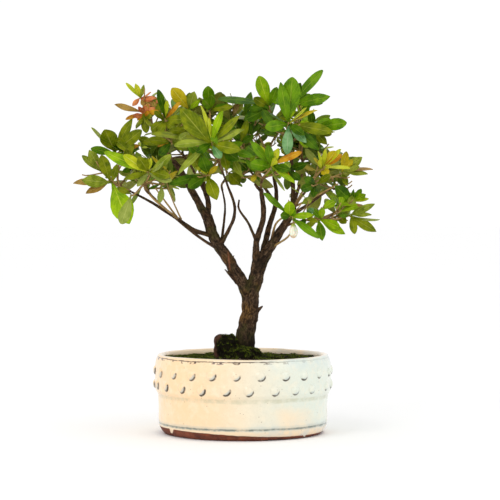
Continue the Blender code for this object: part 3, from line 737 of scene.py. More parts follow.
# The thinner limbs of the last two or three years, smooth-barked and tan to reddish brown.
THIN = tuple(row[0] for row in LIMBS if row[0] not in THICK)
SWITCHES = (  # long bare twigs of one summer: radius at foot and tip, way-points in mm
    (1.0, 0.6, ((-62, -16, 204), (-74, -25, 221), (-86, -33, 237))),
    (0.8, 0.5, ((-58, -15, 202), (-66, -20, 220), (-72, -25, 238))),
    (1.1, 0.8, ((47.5, -6, 213), (57, -15, 230), (70, -24, 246))),
    (1.0, 0.7, ((48, -6, 214), (68, -12, 224), (90, -12, 236))),
)
thin_runs = [runs[name] for name in THIN] + small_runs(SWITCHES, 0.5, 0.2, 80)
thin_wood = drawn_tubes("thin_boughs", thin_runs, 4)
apply_modifier(thin_wood, "SUBSURF", levels=1, render_levels=1)
follow_grain(thin_wood, thin_runs, 0.6)
bpy.ops.object.shade_smooth()

young_bark, shader, place = new_finish("young_bark", Roughness=0.7, Specular_IOR_Level=0.2)
grain = noted(place, "grain", "Vector")
thick = noted(place, "thickness")
streak = bark_noise(grain, 0.7, 0.08, 4, 0.7)
patch = bark_noise(grain, 1.6, 0.25, 3, 0.5)
colour = blend_colours(fade(thick, 0.9, 1.35), chip(184, 152, 92), chip(84, 58, 33))
colour = coat(colour, fade(streak, 0.6, 0.36, 0, 0.8), (44, 28, 16))
colour = coat(colour, fade(patch, 0.52, 0.66, 0, 0.6), (172, 140, 94))
wire(shader, Base_Color=colour, Normal=raised(streak, 0.2))
thin_wood.data.materials.clear()
thin_wood.data.materials.append(young_bark)
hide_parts(*THIN)
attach(thin_wood, "root")

# ---- Twigs
# From the end of each limb a stem grows on to the first shoot's tip, and shoots fork from
# it to the others. From its middle on, every shoot throws up to three short side twigs.
GAP = 0.3 * MM
UP = Vector((0, 0, 1))
GOLDEN_ANGLE = math.radians(137.5)
CROWN_CENTRE = Vector((-5, 5, 205)) * MM
SHOOT_OUT = 0.9
SHOOT_UP = 0.45
SHOOT_EASE = 0.35
SHOOT_STEPS = 3
FINE_STEPS = 9
SIDE_TWIGS_AT = (0.50, 0.72, 0.86)
SIDE_TWIG_LENGTHS = (12, 20)
SIDE_TWIG_BEND = 5 * MM
FORKS = (0.5, 1)
STEM_LEAD = 1.5 * MM
TWIG_TIP = 0.9 * MM
CROWN_SEED = 700  # each mass adds its row number to this
FOLIAGE = (  # mass, limb, palette, tips in mm
    ("foliage_far_left", "low_left", "muted", ((-125, -20, 238), (-121, -6, 267), (-135, -16, 249),
      (-105, -12, 251))),
    ("foliage_low_left", "left_twig", "sunny", ((-88, -38, 248), (-105, -38, 225), (-74, -38, 236))),
    ("foliage_low_back", "low_left_back", "shaded", ((-100, 34, 244), (-83, 48, 252), (-71, 36, 234))),
    ("foliage_upper_left", "left_outer", "salmon", ((-95, 0, 304), (-98, 8, 319), (-74, -8, 298),
      (-67, -14, 276), (-51, 8, 308))),
    ("foliage_top_middle", "left_inner", "muted", ((-32, 6, 308), (-53, 20, 292), (-9, 22, 301),
      (-39, 36, 281))),
    ("foliage_inner", "middle_twig", "shaded", ((-13, 34, 248), (4, 42, 250))),
    ("foliage_front", "middle_shoot", "mixed", ((-29, -54, 274), (-34, -42, 243), (-49, -44, 285),
      (-18, -48, 269))),
    ("foliage_middle", "right_inner", "mixed", ((27, -42, 253), (-3, -32, 277), (12, -40, 247),
      (44, -34, 250))),
    ("foliage_centre_back", "right_middle", "shaded", ((12, 24, 302), (36, 46, 293), (8, 50, 281))),
    ("foliage_top_right", "right_rise", "deep", ((43, -20, 294), (45, -4, 312), (62, 8, 318),
      (68, -4, 290), (24, 4, 312))),
    ("foliage_right", "right_young", "sunny", ((76, -24, 252), (96, -8, 248), (70, -28, 236))),
    ("foliage_right_back", "right_spread", "shaded", ((98, 34, 229), (82, 46, 258), (73, 54, 242))),
    ("foliage_far_right", "right_low", "bright", ((74, -18, 203), (103, -4, 207), (106, 8, 220),
      (90, 4, 206))),
    ("foliage_low_front", "right_side", "bright", ((44, -40, 205), (59, -36, 206))),
    ("foliage_back_left", "back_left", "muted", ((-72, 66, 280), (-54, 74, 298), (-89, 58, 262),
      (-39, 80, 270))),
    ("foliage_back_middle", "back_middle", "deep", ((0, 84, 284), (-18, 76, 268), (18, 88, 271),
      (5, 72, 298))),
    ("foliage_back_right", "back_right", "deep", ((56, 60, 280), (77, 66, 270), (46, 78, 268),
      (61, 44, 295))),
)


def bezier(start, leave, arrive, end, count):
    path = []
    for number in range(count + 1):
        t = number / count
        s = 1 - t
        path.append(start * s ** 3 + leave * (3 * s * s * t) + arrive * (3 * s * t * t) + end * t ** 3)
    return path


def outward(point):
    """The way that a shoot ending at this point faces: out of the crown and up."""
    return ((point - CROWN_CENTRE).normalized() * SHOOT_OUT + UP * SHOOT_UP).normalized()


def shoot_path(start, heading, tip, count=SHOOT_STEPS):
    ease = (tip - start).length * SHOOT_EASE
    return bezier(start, start + heading * ease, tip - outward(tip) * ease, tip, count)


def grow_shoots(limb, tips, rng):
    """Each shoot of one mass twice: in the few steps that the forks are reckoned by, and in fine ones."""
    heading = (limb[-1] - limb[-2]).normalized()
    start = limb[-1] + heading * GAP
    lead = start + heading * STEM_LEAD
    stem = [start] + shoot_path(lead, heading, tips[0])
    coarse = [stem]
    smooth = [[limb[-2].lerp(limb[-1], 0.8), start] + shoot_path(lead, heading, tips[0], FINE_STEPS)]
    for tip in tips[1:]:
        fork = stem[1].lerp(stem[2], rng.uniform(*FORKS))
        leaving = (stem[2] - stem[1]).normalized()
        coarse.append(shoot_path(fork, leaving, tip))
        smooth.append(shoot_path(fork, leaving, tip, FINE_STEPS))
    return coarse, smooth


centres = {}
shoots = {}
dice_of = {}
for row, (mass, limb, _, tips) in enumerate(FOLIAGE):
    tips = [Vector(tip) * MM for tip in tips]
    dice_of[mass] = random.Random(CROWN_SEED + row)
    shoots[mass] = grow_shoots(limb_paths[limb], tips, dice_of[mass])
    centres[mass] = sum(tips, Vector()) / len(tips)


def in_own_space(point, mass):
    """True where a point is nearer to its own mass's centre than to any other's, by a margin."""
    for other, centre in centres.items():
        apart = centre - centres[mass]
        if other != mass and (point - (centres[mass] + centre) / 2).dot(apart) > -GAP * apart.length:
            return False
    return True


def side_twigs(mass, paths, seed):
    """Short twigs that leave the shoots of one mass at an open angle and turn up towards the light."""
    dice = random.Random(seed)
    made = []
    for path in paths:
        for share in SIDE_TWIGS_AT:
            where = share * (len(path) - 1)
            low = int(where)
            start = path[low].lerp(path[low + 1], where - low)
            heading = (path[low + 1] - path[low]).normalized()
            side = heading.orthogonal().normalized()
            side.rotate(Matrix.Rotation(dice.uniform(0, math.tau), 3, heading))
            lean = (heading * 0.55 + side * 0.85 + UP * 0.15).normalized()
            tip = start + lean * dice.uniform(*SIDE_TWIG_LENGTHS) * MM
            if lean.z > -0.2 and in_own_space(tip, mass):
                arrive = tip - (lean + UP * 0.6).normalized() * SIDE_TWIG_BEND
                made.append(bezier(start, start + lean * SIDE_TWIG_BEND, arrive, tip, 5))
    return made


def tapered(path, thick, loss):
    """A run along a path that starts at a radius in mm and loses some of it by the end."""
    return [(point, (thick - loss * number / (len(path) - 1)) * MM) for number, point in enumerate(path)]


side_shoots = {mass: side_twigs(mass, shoots[mass][1], CROWN_SEED + 50 + row)
               for row, mass in enumerate(shoots)}
twig_runs = []
for mass, (_, smooth) in shoots.items():
    twig_runs += [tapered(path, 1.25, 0.5) for path in smooth]
    twig_runs += [tapered(path, 0.75, 0.2) for path in side_shoots[mass]]
twigs = drawn_tubes("leafy_twigs", twig_runs, 2)
follow_grain(twigs, twig_runs, 0.0)
bpy.ops.object.shade_smooth()
twigs.data.materials.clear()
twigs.data.materials.append(young_bark)
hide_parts(*[row[0] for row in FOLIAGE])
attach(twigs, "root")

# ---- Leaves
# Azalea leaves stand in whorls at the twigs' ends: leathery, folded a little along the
# midrib, paler below. The newest stand upright in the middle, lime green, salmon or bronze.
WHORL = 6
WHORL_DEPTH = 8 * MM
OLD_OPENING = 82
YOUNG_CLOSING = 50
CLOSING_POWER = 1.4
OPENING_SPREAD = 12
LEAF_ROLL = math.radians(40)
LEAF_SIZES = (0.82, 1.08)
YOUNG_LOSS = 0.4
LEAF_LENGTH = 40 * MM
LEAF_WIDTH = 15 * MM
LEAF_SLIM = 0.24  # least width of a leaf as a share of its length
LEAF_THICK = 0.4 * MM
LEAF_ROWS = 9
LEAF_SHRINKS = (1, 0.85, 0.7, 0.55)
LEAF_CLEARANCE = 1.2 * MM
LEAF_BEND = (0.1, 0.6)
LEAF_FOLD = (0.05, 0.34)
LEAF_WAVE = 0.05
BROAD_SHARE = 0.55  # share of the leaves that are broad, the others being pointed
FRONT = Vector((0, -1, 0))


def leaf_blank(name, broadest, fullness):
    """One flat leaf of unit length and width, its outline cut from a grid and given its two faces."""
    bpy.ops.mesh.primitive_grid_add(x_subdivisions=LEAF_ROWS, y_subdivisions=2, size=1)
    blank = name_piece(name)
    spots = points_of(blank)
    share = np.sin((spots[:, 0] + 0.5) * math.pi / 2)  # rows close up towards the point
    stretch = np.clip((share - 0.07) / 0.93, 0, 1)
    outline = np.maximum(np.sin(math.pi * stretch ** broadest) ** fullness, 0.055 * (share < 0.99))
    spots[:, 1] *= outline
    spots[:, 0] = share
    move_points(blank, spots)
    apply_modifier(blank, "SOLIDIFY", thickness=1, offset=0)
    base = points_of(blank).copy()
    faces = [tuple(face.vertices) for face in blank.data.polygons]
    uv = np.array([tuple(loop.uv) for loop in blank.data.uv_layers.active.data])
    under = [0 if face.normal.z > 0.7 else 1 for face in blank.data.polygons]
    bpy.data.objects.remove(blank)
    return base, faces, uv, under


BROAD_LEAF = leaf_blank("broad_leaf", 1.45, 0.62)
POINTED_LEAF = leaf_blank("pointed_leaf", 1.25, 0.85)


def turned_out(path, angle, opening, roll):
    """Direction and upper side of a leaf that opens from a twig's end, at an angle round the twig."""
    axis = (path[-1] - path[-2]).normalized()
    turned = axis.orthogonal().normalized()
    turned.rotate(Matrix.Rotation(angle, 3, axis))
    along = (axis * math.cos(opening) + turned * math.sin(opening)).normalized()
    face = axis * math.sin(opening) - turned * math.cos(opening)
    face.rotate(Matrix.Rotation(roll, 3, along))
    return along, face


def leaf_poses(path, count, rng):
    """Where the leaves of one whorl stand: foot, direction, upper side and share of full size."""
    axis = (path[-1] - path[-2]).normalized()
    phase = rng.uniform(0, math.tau)
    poses = []
    for number in range(count):
        young = number / (count - 1)
        closing = YOUNG_CLOSING * young ** CLOSING_POWER
        opening = math.radians(OLD_OPENING - closing + rng.uniform(-OPENING_SPREAD, OPENING_SPREAD))
        roll = rng.uniform(-LEAF_ROLL, LEAF_ROLL)
        along, face = turned_out(path, phase + GOLDEN_ANGLE * number, opening, roll)
        foot = path[-1] - axis * ((1 - young) * WHORL_DEPTH + TWIG_TIP)
        poses.append((foot, along, face, rng.uniform(*LEAF_SIZES) * (1 - YOUNG_LOSS * young ** 2)))
    return poses


def ring_of_leaves(path, count, opened, below, sizes, dice):
    """A ring of extra leaves some way below a twig's end, at an opening in degrees."""
    axis = (path[-1] - path[-2]).normalized()
    phase = dice.uniform(0, math.tau)
    poses = []
    for number in range(count):
        opening = math.radians(dice.uniform(*opened))
        roll = dice.uniform(-0.5, 0.5)
        along, face = turned_out(path, phase + GOLDEN_ANGLE * number, opening, roll)
        poses.append((path[-1] - axis * dice.uniform(*below) * MM, along, face, dice.uniform(*sizes)))
    return poses


# The sprays that make the tree's face, by mass and shoot: the tint of each spray, then its leaves as
# how far across and up from the twig's end the point lies, length, and width as seen from the front, in mm.
SHOWN_SPRAYS = {
    ("foliage_far_left", 0): {"fresh": ((19, -40, 46, 24),), "olive": ((-6, 24, 36, 10), (8, 16, 26, 7)),
        "soft": ((-24, 1, 36, 12),), "bronze": ((-21, -11, 32, 7), (-33, -1, 38, 6))},
    ("foliage_far_left", 1): {"olive": ((-8, 19, 34, 16), (26, 19, 38, 11), (17, 30, 38, 9)),
        "green": ((-22, 2, 26, 8),),
        "soft": ((-21, 22, 34, 3),), "orange": ((24, 6, 26, 5),)},
    ("foliage_far_left", 2): {"soft": ((-15, 13, 26, 7), (-8, 18, 30, 9))},
    ("foliage_far_left", 3): {"deep": ((-7, -4, 20, 5),), "olive": ((-4, 17, 26, 8),)},
    ("foliage_low_left", 0): {"fresh": ((-40, 17, 46, 9),), "olive": ((21, -6, 32, 9), (-22, -8, 28, 6),
        (-8, 12, 24, 11)), "soft": ((22, 14, 34, 8),), "pale": ((16, 7, 30, 4), (23, -10, 34, 8),
        (-10, -15, 20, 5)), "lime": ((-22, 14, 30, 10), (3, 12, 14, 4), (0, 11, 13, 3))},
    ("foliage_low_left", 1): {"olive": ((-11, 7, 22, 6),), "pale": ((-7, -27, 34, 11),)},
    ("foliage_low_left", 2): {"deep": ((-13, -5, 14, 3),), "pale": ((-2, -19, 30, 7),)},
    ("foliage_upper_left", 0): {"olive": ((4, -20, 24, 8), (9, -5, 18, 5), (-6, -16, 22, 4),
        (8, -14, 24, 4),
        (8, -2, 10, 4)), "lime": ((5, 6, 10, 4), (4, 7, 9, 4)), "salmon": ((-9, -4, 14, 5), (12, 4, 16, 6),
        (-4, 5, 8, 4), (7, 7, 11, 4), (4, 6, 11, 6), (0, 4, 10, 4)), "orange": ((7, -2, 12, 6),
        (-16, -7, 20, 4), (16, 0, 22, 5), (-5, -8, 11, 4)),
        "bronze": ((-26, 7, 30, 6),)},
    ("foliage_upper_left", 1): {"soft": ((4, 11, 15, 4),), "lime": ((-13, 13, 20, 4), (-4, 12, 16, 6),
        (4, -7, 9, 4)), "bronze": ((16, -9, 21, 6), (4, -9, 13, 5)),
        "salmon": ((6, -3, 9, 6), (16, -2, 20, 4), (-7, -9, 14, 5), (11, 4, 16, 2),
        (9, -11, 16, 6), (7, -1, 10, 4), (19, -6, 21, 4), (12, -4, 16, 5)), "orange": ((10, -6, 13, 4),)},
    ("foliage_upper_left", 2): {"deep": ((-5, 26, 32, 6),), "olive": ((10, -10, 18, 7), (-9, 6, 16, 6),
        (-12, -12, 24, 8), (19, -2, 24, 8), (-4, -14, 24, 8)), "lime": ((3, 16, 20, 5),),
        "orange": ((15, 15, 24, 5),)},
    ("foliage_upper_left", 3): {"deep": ((-11, -14, 26, 9),), "olive": ((-21, 1, 30, 8), (15, -9, 24, 8)),
        "orange": ((-13, -5, 18, 3),)},
    ("foliage_upper_left", 4): {"fresh": ((10, 8, 18, 6),), "soft": ((5, 15, 22, 10),),
        "ochre": ((-16, 18, 30, 13),)},
    ("foliage_top_middle", 0): {"deep": ((17, 3, 24, 6),), "green": ((-1, 20, 26, 11), (3, 11, 22, 8),
        (-5, 8, 18, 7)), "olive": ((22, 1, 30, 7),)},
    ("foliage_inner", 0): {"olive": ((10, -12, 26, 13),), "pale": ((10, 3, 20, 7), (-4, -10, 14, 5))},
    ("foliage_front", 0): {"deep": ((-13, -10, 24, 8),), "fresh": ((10, 28, 34, 7),),
        "olive": ((-28, 30, 46, 18), (-55, 8, 56, 7), (27, -8, 38, 11), (26, 23, 42, 8)),
        "soft": ((-31, -30, 46, 6), (-34, -3, 38, 7), (30, 11, 40, 6)), "teal": ((9, -15, 24, 9),),
        "lime": ((-9, 34, 36, 3), (-2, 22, 24, 3))},
    ("foliage_front", 1): {"deep": ((-34, -8, 40, 9), (-4, 18, 30, 11), (-16, -11, 28, 10)),
        "olive": ((10, -22, 34, 12),), "ochre": ((11, 9, 18, 5),), "lime": ((0, 9, 12, 3),
        (-10, 8, 16, 4))},
    ("foliage_front", 2): {"olive": ((-18, 0, 28, 7),), "soft": ((-9, -9, 26, 8),)},
    ("foliage_front", 3): {"deep": ((14, -12, 28, 11),), "green": ((28, -9, 34, 8), (18, 4, 24, 8)),
        "olive": ((4, -21, 26, 8),)},
    ("foliage_middle", 0): {"deep": ((17, -5, 24, 8),), "green": ((-20, 1, 30, 11), (-20, 22, 36, 8),
        (-4, 18, 26, 9)), "fresh": ((21, -17, 34, 5),), "pale": ((11, -25, 34, 3),),
        "lime": ((-11, 18, 22, 5), (6, 15, 20, 7), (3, 6, 12, 8)), "orange": ((27, 12, 34, 6),)},
    ("foliage_middle", 1): {"deep": ((-11, 14, 26, 8), (13, 3, 22, 7)), "olive": ((7, 17, 24, 7),)},
    ("foliage_middle", 2): {"green": ((-9, 11, 20, 6),), "ochre": ((-4, -9, 14, 5),)},
    ("foliage_middle", 3): {"deep": ((15, 4, 24, 8), (9, -11, 26, 7)), "olive": ((-8, -7, 20, 6),),
        "orange": ((-4, -8, 14, 7),)},
    ("foliage_top_right", 0): {"deep": ((14, -13, 28, 8), (28, -27, 42, 10)), "green": ((-22, -6, 30, 10),
        (-8, 36, 42, 11), (3, 41, 44, 20)), "fresh": ((7, 15, 18, 3),), "olive": ((42, -10, 44, 12),),
        "teal": ((16, -20, 30, 8), (-2, -32, 36, 10)), "ochre": ((26, 11, 32, 3),),
        "lime": ((-5, 15, 18, 3), (2, 15, 16, 6), (16, 13, 24, 2))},
    ("foliage_top_right", 1): {"deep": ((9, 18, 30, 8),), "green": ((30, 31, 45, 10), (37, 6, 40, 11))},
    ("foliage_top_right", 2): {"deep": ((13, -6, 20, 8),), "green": ((-9, 8, 20, 7),)},
    ("foliage_top_right", 3): {"deep": ((-4, 14, 20, 8), (-3, -19, 26, 9)), "green": ((29, 3, 36, 11),),
        "olive": ((11, -17, 24, 8), (15, -8, 24, 8))},
    ("foliage_top_right", 4): {"deep": ((-48, 5, 50, 7), (-23, -16, 32, 10), (-19, -6, 24, 7)),
        "green": ((8, 15, 22, 8),), "fresh": ((-9, 26, 30, 13),), "olive": ((-14, 5, 20, 8),)},
    ("foliage_right", 0): {"ochre": ((-10, 8, 16, 3), (10, 14, 22, 9), (2, -8, 14, 8)),
        "lime": ((-6, 14, 20, 3), (1, 16, 20, 4), (24, -1, 28, 3), (6, 1, 14, 4), (-5, 6, 12, 4),
        (15, 16, 26, 5)), "orange": ((16, 11, 24, 7),)},
    ("foliage_right", 1): {"olive": ((2, -14, 20, 6),), "soft": ((16, 13, 24, 10), (13, 4, 20, 5),
        (21, -3, 28, 5)), "ochre": ((1, 18, 24, 7), (7, 11, 18, 6)), "bronze": ((26, 2, 30, 3),)},
    ("foliage_right", 2): {"deep": ((-13, 5, 24, 8), (-5, -13, 22, 7), (-16, -6, 26, 8)),
        "olive": ((11, 8, 20, 6),)},
    ("foliage_far_right", 0): {"green": ((-9, 9, 20, 6), (0, -20, 26, 10)), "fresh": ((21, -14, 32, 8),
        (0, 10, 18, 6), (16, -8, 28, 9)), "olive": ((-17, -9, 22, 5),)},
    ("foliage_far_right", 1): {"green": ((-12, -2, 18, 4),), "olive": ((22, -16, 34, 10), (2, -18, 24, 7)),
        "soft": ((21, 10, 28, 7), (18, 0, 24, 4), (10, 7, 18, 5)), "pale": ((26, -6, 32, 3),)},
    ("foliage_far_right", 2): {"deep": ((-19, 14, 32, 12),), "green": ((-1, 11, 14, 3), (6, 11, 18, 5),
        (-10, 4, 16, 7)), "fresh": ((10, 6, 18, 7), (-5, -7, 12, 5)), "lime": ((13, 2, 18, 4),),
        "bronze": ((13, -8, 20, 3),)},
    ("foliage_far_right", 3): {"fresh": ((-4, -13, 20, 7),), "olive": ((7, -7, 20, 7),),
        "pale": ((-13, 16, 26, 8),)},
    ("foliage_low_front", 0): {"deep": ((-9, 2, 14, 9),), "green": ((-25, 22, 38, 5), (4, 7, 12, 7),
        (26, -19, 38, 7)), "fresh": ((21, 2, 24, 6), (-1, 14, 22, 11))},
    ("foliage_low_front", 1): {"deep": ((-4, -12, 18, 5),), "olive": ((10, -6, 16, 5),),
        "teal": ((6, 7, 18, 6),)},
}


def leaf_towards(path, across, up, length, width, dice):
    """Pose of a leaf whose point shows this far across and up from its twig's end, and its own width."""
    nearer = math.sqrt(max(length ** 2 - across ** 2 - up ** 2, (0.15 * length) ** 2))
    axis = (path[-1] - path[-2]).normalized()
    foot = path[-1] - axis * dice.uniform(0.3, 4.0) * MM
    reach = path[-1] + Vector((across, -nearer, up)) * MM - foot
    along = reach.normalized()
    open_face = (FRONT - along * FRONT.dot(along)).normalized()
    own_width = max(LEAF_SLIM * length, width)
    roll = math.acos(min(1, width / own_width))
    faces = [Matrix.Rotation(sign * roll, 3, along) @ open_face for sign in (1, -1)]
    return (foot, along, max(faces, key=lambda face: face.z), 1), reach.length, own_width * MM


PALETTES = {  # shares of the mature tints, and the tints of the youngest leaves
    "muted": ({"olive": 6, "soft": 2, "deep": 2}, ("lime", "bronze")),
    "sunny": ({"fresh": 3, "soft": 2, "olive": 4, "ochre": 0.6}, ("lime", "lime", "orange")),
    "shaded": ({"deep": 4, "olive": 3, "green": 3}, ("fresh", "lime")),
    "salmon": ({"olive": 5, "soft": 2, "green": 2}, ("salmon", "salmon", "lime")),
    "mixed": ({"green": 4, "fresh": 2, "olive": 2, "deep": 2, "soft": 1}, ("lime", "lime", "orange")),
    "deep": ({"green": 4, "deep": 4, "fresh": 1.5, "teal": 0.7}, ("lime",)),
    "bright": ({"fresh": 3, "green": 4, "soft": 2}, ("lime", "fresh")),
}
TINTS = {  # upper side dark and light, midrib, under side dark and light
    "deep": ((40, 76, 1), (78, 114, 4), (112, 142, 34), (80, 102, 20), (104, 124, 36)),
    "green": ((70, 112, 1), (106, 148, 5), (146, 172, 48), (98, 122, 24), (122, 144, 44)),
    "fresh": ((108, 148, 1), (150, 184, 8), (196, 208, 70), (132, 152, 32), (158, 172, 52)),
    "olive": ((86, 103, 2), (130, 140, 10), (160, 164, 62), (116, 122, 40), (142, 146, 60)),
    "soft": ((108, 126, 22), (150, 163, 50), (182, 190, 94), (134, 146, 60), (156, 166, 80)),
    "pale": ((126, 142, 42), (150, 162, 62), (184, 194, 104), (126, 142, 56), (152, 164, 78)),
    # The teal tint is a bluish green that paints in the leaves' sheen; real gloss from the coat lies over
    # it.
    "teal": ((70, 126, 58), (122, 168, 108), (166, 196, 146), (90, 120, 60), (116, 142, 82)),
    "ochre": ((170, 152, 6), (202, 182, 30), (220, 206, 88), (166, 152, 40), (190, 174, 62)),
    "lime": ((170, 186, 8), (210, 214, 46), (230, 230, 112), (184, 192, 50), (208, 212, 82)),
    "salmon": ((176, 82, 42), (230, 146, 88), (238, 184, 130), (190, 108, 66), (222, 160, 112)),
    "orange": ((168, 104, 6), (204, 154, 26), (228, 182, 76), (184, 122, 36), (206, 154, 62)),
    "bronze": ((140, 108, 42), (172, 138, 68), (196, 168, 104), (148, 120, 66), (176, 150, 92)),
}
leaf_rows = {tint: [] for tint in TINTS}
wood_tree = BVHTree.FromPolygons([vert.co for vert in wood.data.vertices],
                                 [face.vertices for face in wood.data.polygons])

OPEN_SKY = (  # gaps between the sprays: across, down and radius in pixels of the finished picture
    (184, 197, 9), (347, 145, 7), (356, 180, 9), (352, 188, 5), (372, 197, 6), (147, 209, 6), (328, 141, 7),
    (154, 192, 6), (155, 181, 4), (162, 190, 4), (192, 170, 5), (238, 193, 5), (255, 137, 5), (265, 139, 4),
    (237, 138, 4), (250, 186, 6), (90, 165, 6), (129, 113, 6), (124, 168, 5), (263, 181, 5),
)
CENTRE = 250  # the middle pixel, across and down
PIXEL = 0.95 * MM  # what one pixel covers in the plane of the trunk
EYE = Vector((6.6, -1900, 214)) * MM
AIM = Vector((6.6, 0, 173.2)) * MM  # what stands in the middle of the picture


def in_open_sky(point):
    """True where a point stands in one of the gaps, as the camera sees it."""
    seen = EYE + (point - EYE) * (EYE.y / (EYE.y - point.y))
    px = CENTRE + (seen.x - AIM.x) / PIXEL
    py = CENTRE - (seen.z - AIM.z) / PIXEL
    return any(math.hypot(px - across, py - down) < radius for across, down, radius in OPEN_SKY)


def set_leaf(pose, length, width, tint, dice, mass=None):
    """Keep a leaf, or a smaller one, where it is clear of the limbs and, given a mass, in its space."""
    foot, along, face, size = pose
    across = along.cross(face).normalized()
    for shrink in LEAF_SHRINKS:
        long = length * size * shrink
        wide = width * size * shrink
        outline = [foot + along * long, foot + along * long * 0.6 + across * wide / 2,
                   foot + along * long * 0.6 - across * wide / 2, foot + along * long * 0.35]
        fits = not any(wood_tree.find_nearest(point, LEAF_CLEARANCE)[0] for point in outline)
        if fits and mass is not None:
            fits = all(in_own_space(point, mass) and not in_open_sky(point) for point in outline)
        if fits:
            bend = dice.uniform(*LEAF_BEND)
            wide *= dice.uniform(0.9, 1.1)
            fold = dice.uniform(*LEAF_FOLD)
            wave = dice.uniform(-LEAF_WAVE, LEAF_WAVE)
            ripple, shape = dice.random(), dice.random()
            leaf_rows[tint].append((foot, along, face, long, wide, bend, fold, wave, ripple, shape))
            return


for row, (mass, _, palette, _) in enumerate(FOLIAGE):
    tints, youngest = PALETTES[palette]
    for number, path in enumerate(shoots[mass][0]):
        dice = random.Random((CROWN_SEED + row) * 100 + number)
        sprays = SHOWN_SPRAYS.get((mass, number), {})
        shown = []
        for tint, leaves in sprays.items():
            for across, up, length, width in leaves:
                pose, long, wide = leaf_towards(path, across, up, length, width, dice)
                if tint == "pale":
                    pose = (pose[0], pose[1], -pose[2], pose[3])
                shown.append(pose[1])
                set_leaf(pose, long, wide, tint, dice)
        longest = max([leaf[2] * MM for leaves in sprays.values() for leaf in leaves], default=LEAF_LENGTH)
        chosen = dice.choices(list(tints), list(tints.values()), k=2)
        grown = [(pose, chosen[dice.random() < 0.4]) for pose in leaf_poses(path, WHORL, dice_of[mass])]
        lower = ring_of_leaves(path, 3, (78, 112), (8, 17), (0.7, 0.95), dice)
        grown += [(pose, chosen[1]) for pose in lower]
        for pose, tint in grown:
            scale = min(1, longest / LEAF_LENGTH)
            point = path[-1] + pose[1] * LEAF_LENGTH * scale * 0.9
            within = (point - CROWN_CENTRE).length < (path[-1] - CROWN_CENTRE).length + 9 * MM
            behind = within and pose[1].y > 0.15 and pose[1].z > -0.3
            if not sprays or (behind and all(pose[1].dot(along) < 0.8 for along in shown)):
                set_leaf(pose, LEAF_LENGTH * scale, LEAF_WIDTH * scale, tint, dice, mass)
        if not sprays:
            for pose in ring_of_leaves(path, 4, (8, 46), (0.3, 2.5), (0.28, 0.5), dice):
                set_leaf(pose, LEAF_LENGTH, LEAF_WIDTH * 0.85, dice.choice(youngest), dice, mass)
    reach = max((path[-1] - CROWN_CENTRE).length for path in shoots[mass][0])
    for number, path in enumerate(side_shoots[mass]):
        dice = random.Random((CROWN_SEED + row) * 100 + 50 + number)
        tint = dice.choices(list(tints), list(tints.values()))[0]
        for pose in ring_of_leaves(path, 5, (38, 88), (0.5, 6), (0.5, 0.78), dice):
            within = (path[-1] + pose[1] * LEAF_LENGTH * 0.5 - CROWN_CENTRE).length < reach + 4 * MM
            if centres[mass].y > 15 * MM or (within and pose[1].y > 0.2 and pose[1].z > 0):
                set_leaf(pose, LEAF_LENGTH, LEAF_WIDTH, tint, dice, mass)


def spread_leaves(base, rows):
    """The points of one blank, bent, folded and stood where each row says, as one array."""
    foot, along, face = (np.array([list(row[i]) for row in rows])[:, None, :] for i in range(3))
    measures = np.array([row[3:9] for row in rows]).T[:, :, None]
    long, wide, bend, fold, wave, ripple = measures
    across = np.cross(face, along)
    across /= np.linalg.norm(across, axis=2, keepdims=True)
    face = np.cross(along, across)
    share = base[None, :, 0]
    aside = base[None, :, 1] * wide
    angle = bend * (share - 0.42)
    forward = long * (np.sin(angle) + np.sin(bend * 0.42)) / bend
    rise = long * (np.cos(angle) - np.cos(bend * 0.42)) / bend
    lift = np.abs(aside) * np.tan(fold) - aside ** 2 / wide * 0.55
    lift += wide * wave * np.sin(math.tau * (share * 1.4 + ripple)) * base[None, :, 1] * 2
    lift += base[None, :, 2] * LEAF_THICK
    forward = forward + lift * np.sin(angle)
    rise = rise + lift * np.cos(angle)
    return foot + along * forward[..., None] + across * aside[..., None] + face * rise[..., None]


def leaf_piece(name, rows, upper, under):
    """All the leaves of one tint as one piece, with a material for each side."""
    spots, faces, uvs, slots = [], [], [], []
    start = 0
    for blank, broad in ((BROAD_LEAF, True), (POINTED_LEAF, False)):
        some = [row for row in rows if (row[-1] < BROAD_SHARE) == broad]
        if some:
            base, corners, uv, sides = blank
            spots.append(spread_leaves(base, some).reshape(-1, 3))
            uvs.append(np.tile(uv, (len(some), 1)))
            slots += sides * len(some)
            for _ in some:
                faces += [tuple(corner + start for corner in face) for face in corners]
                start += len(base)
    obj = mesh_piece(name, np.concatenate(spots), faces, np.concatenate(uvs), slots)
    bpy.ops.object.shade_smooth_by_angle(angle=math.radians(45))
    obj.data.materials.append(upper)
    obj.data.materials.append(under)
    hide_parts(*[row[0] for row in FOLIAGE])
    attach(obj, "root")


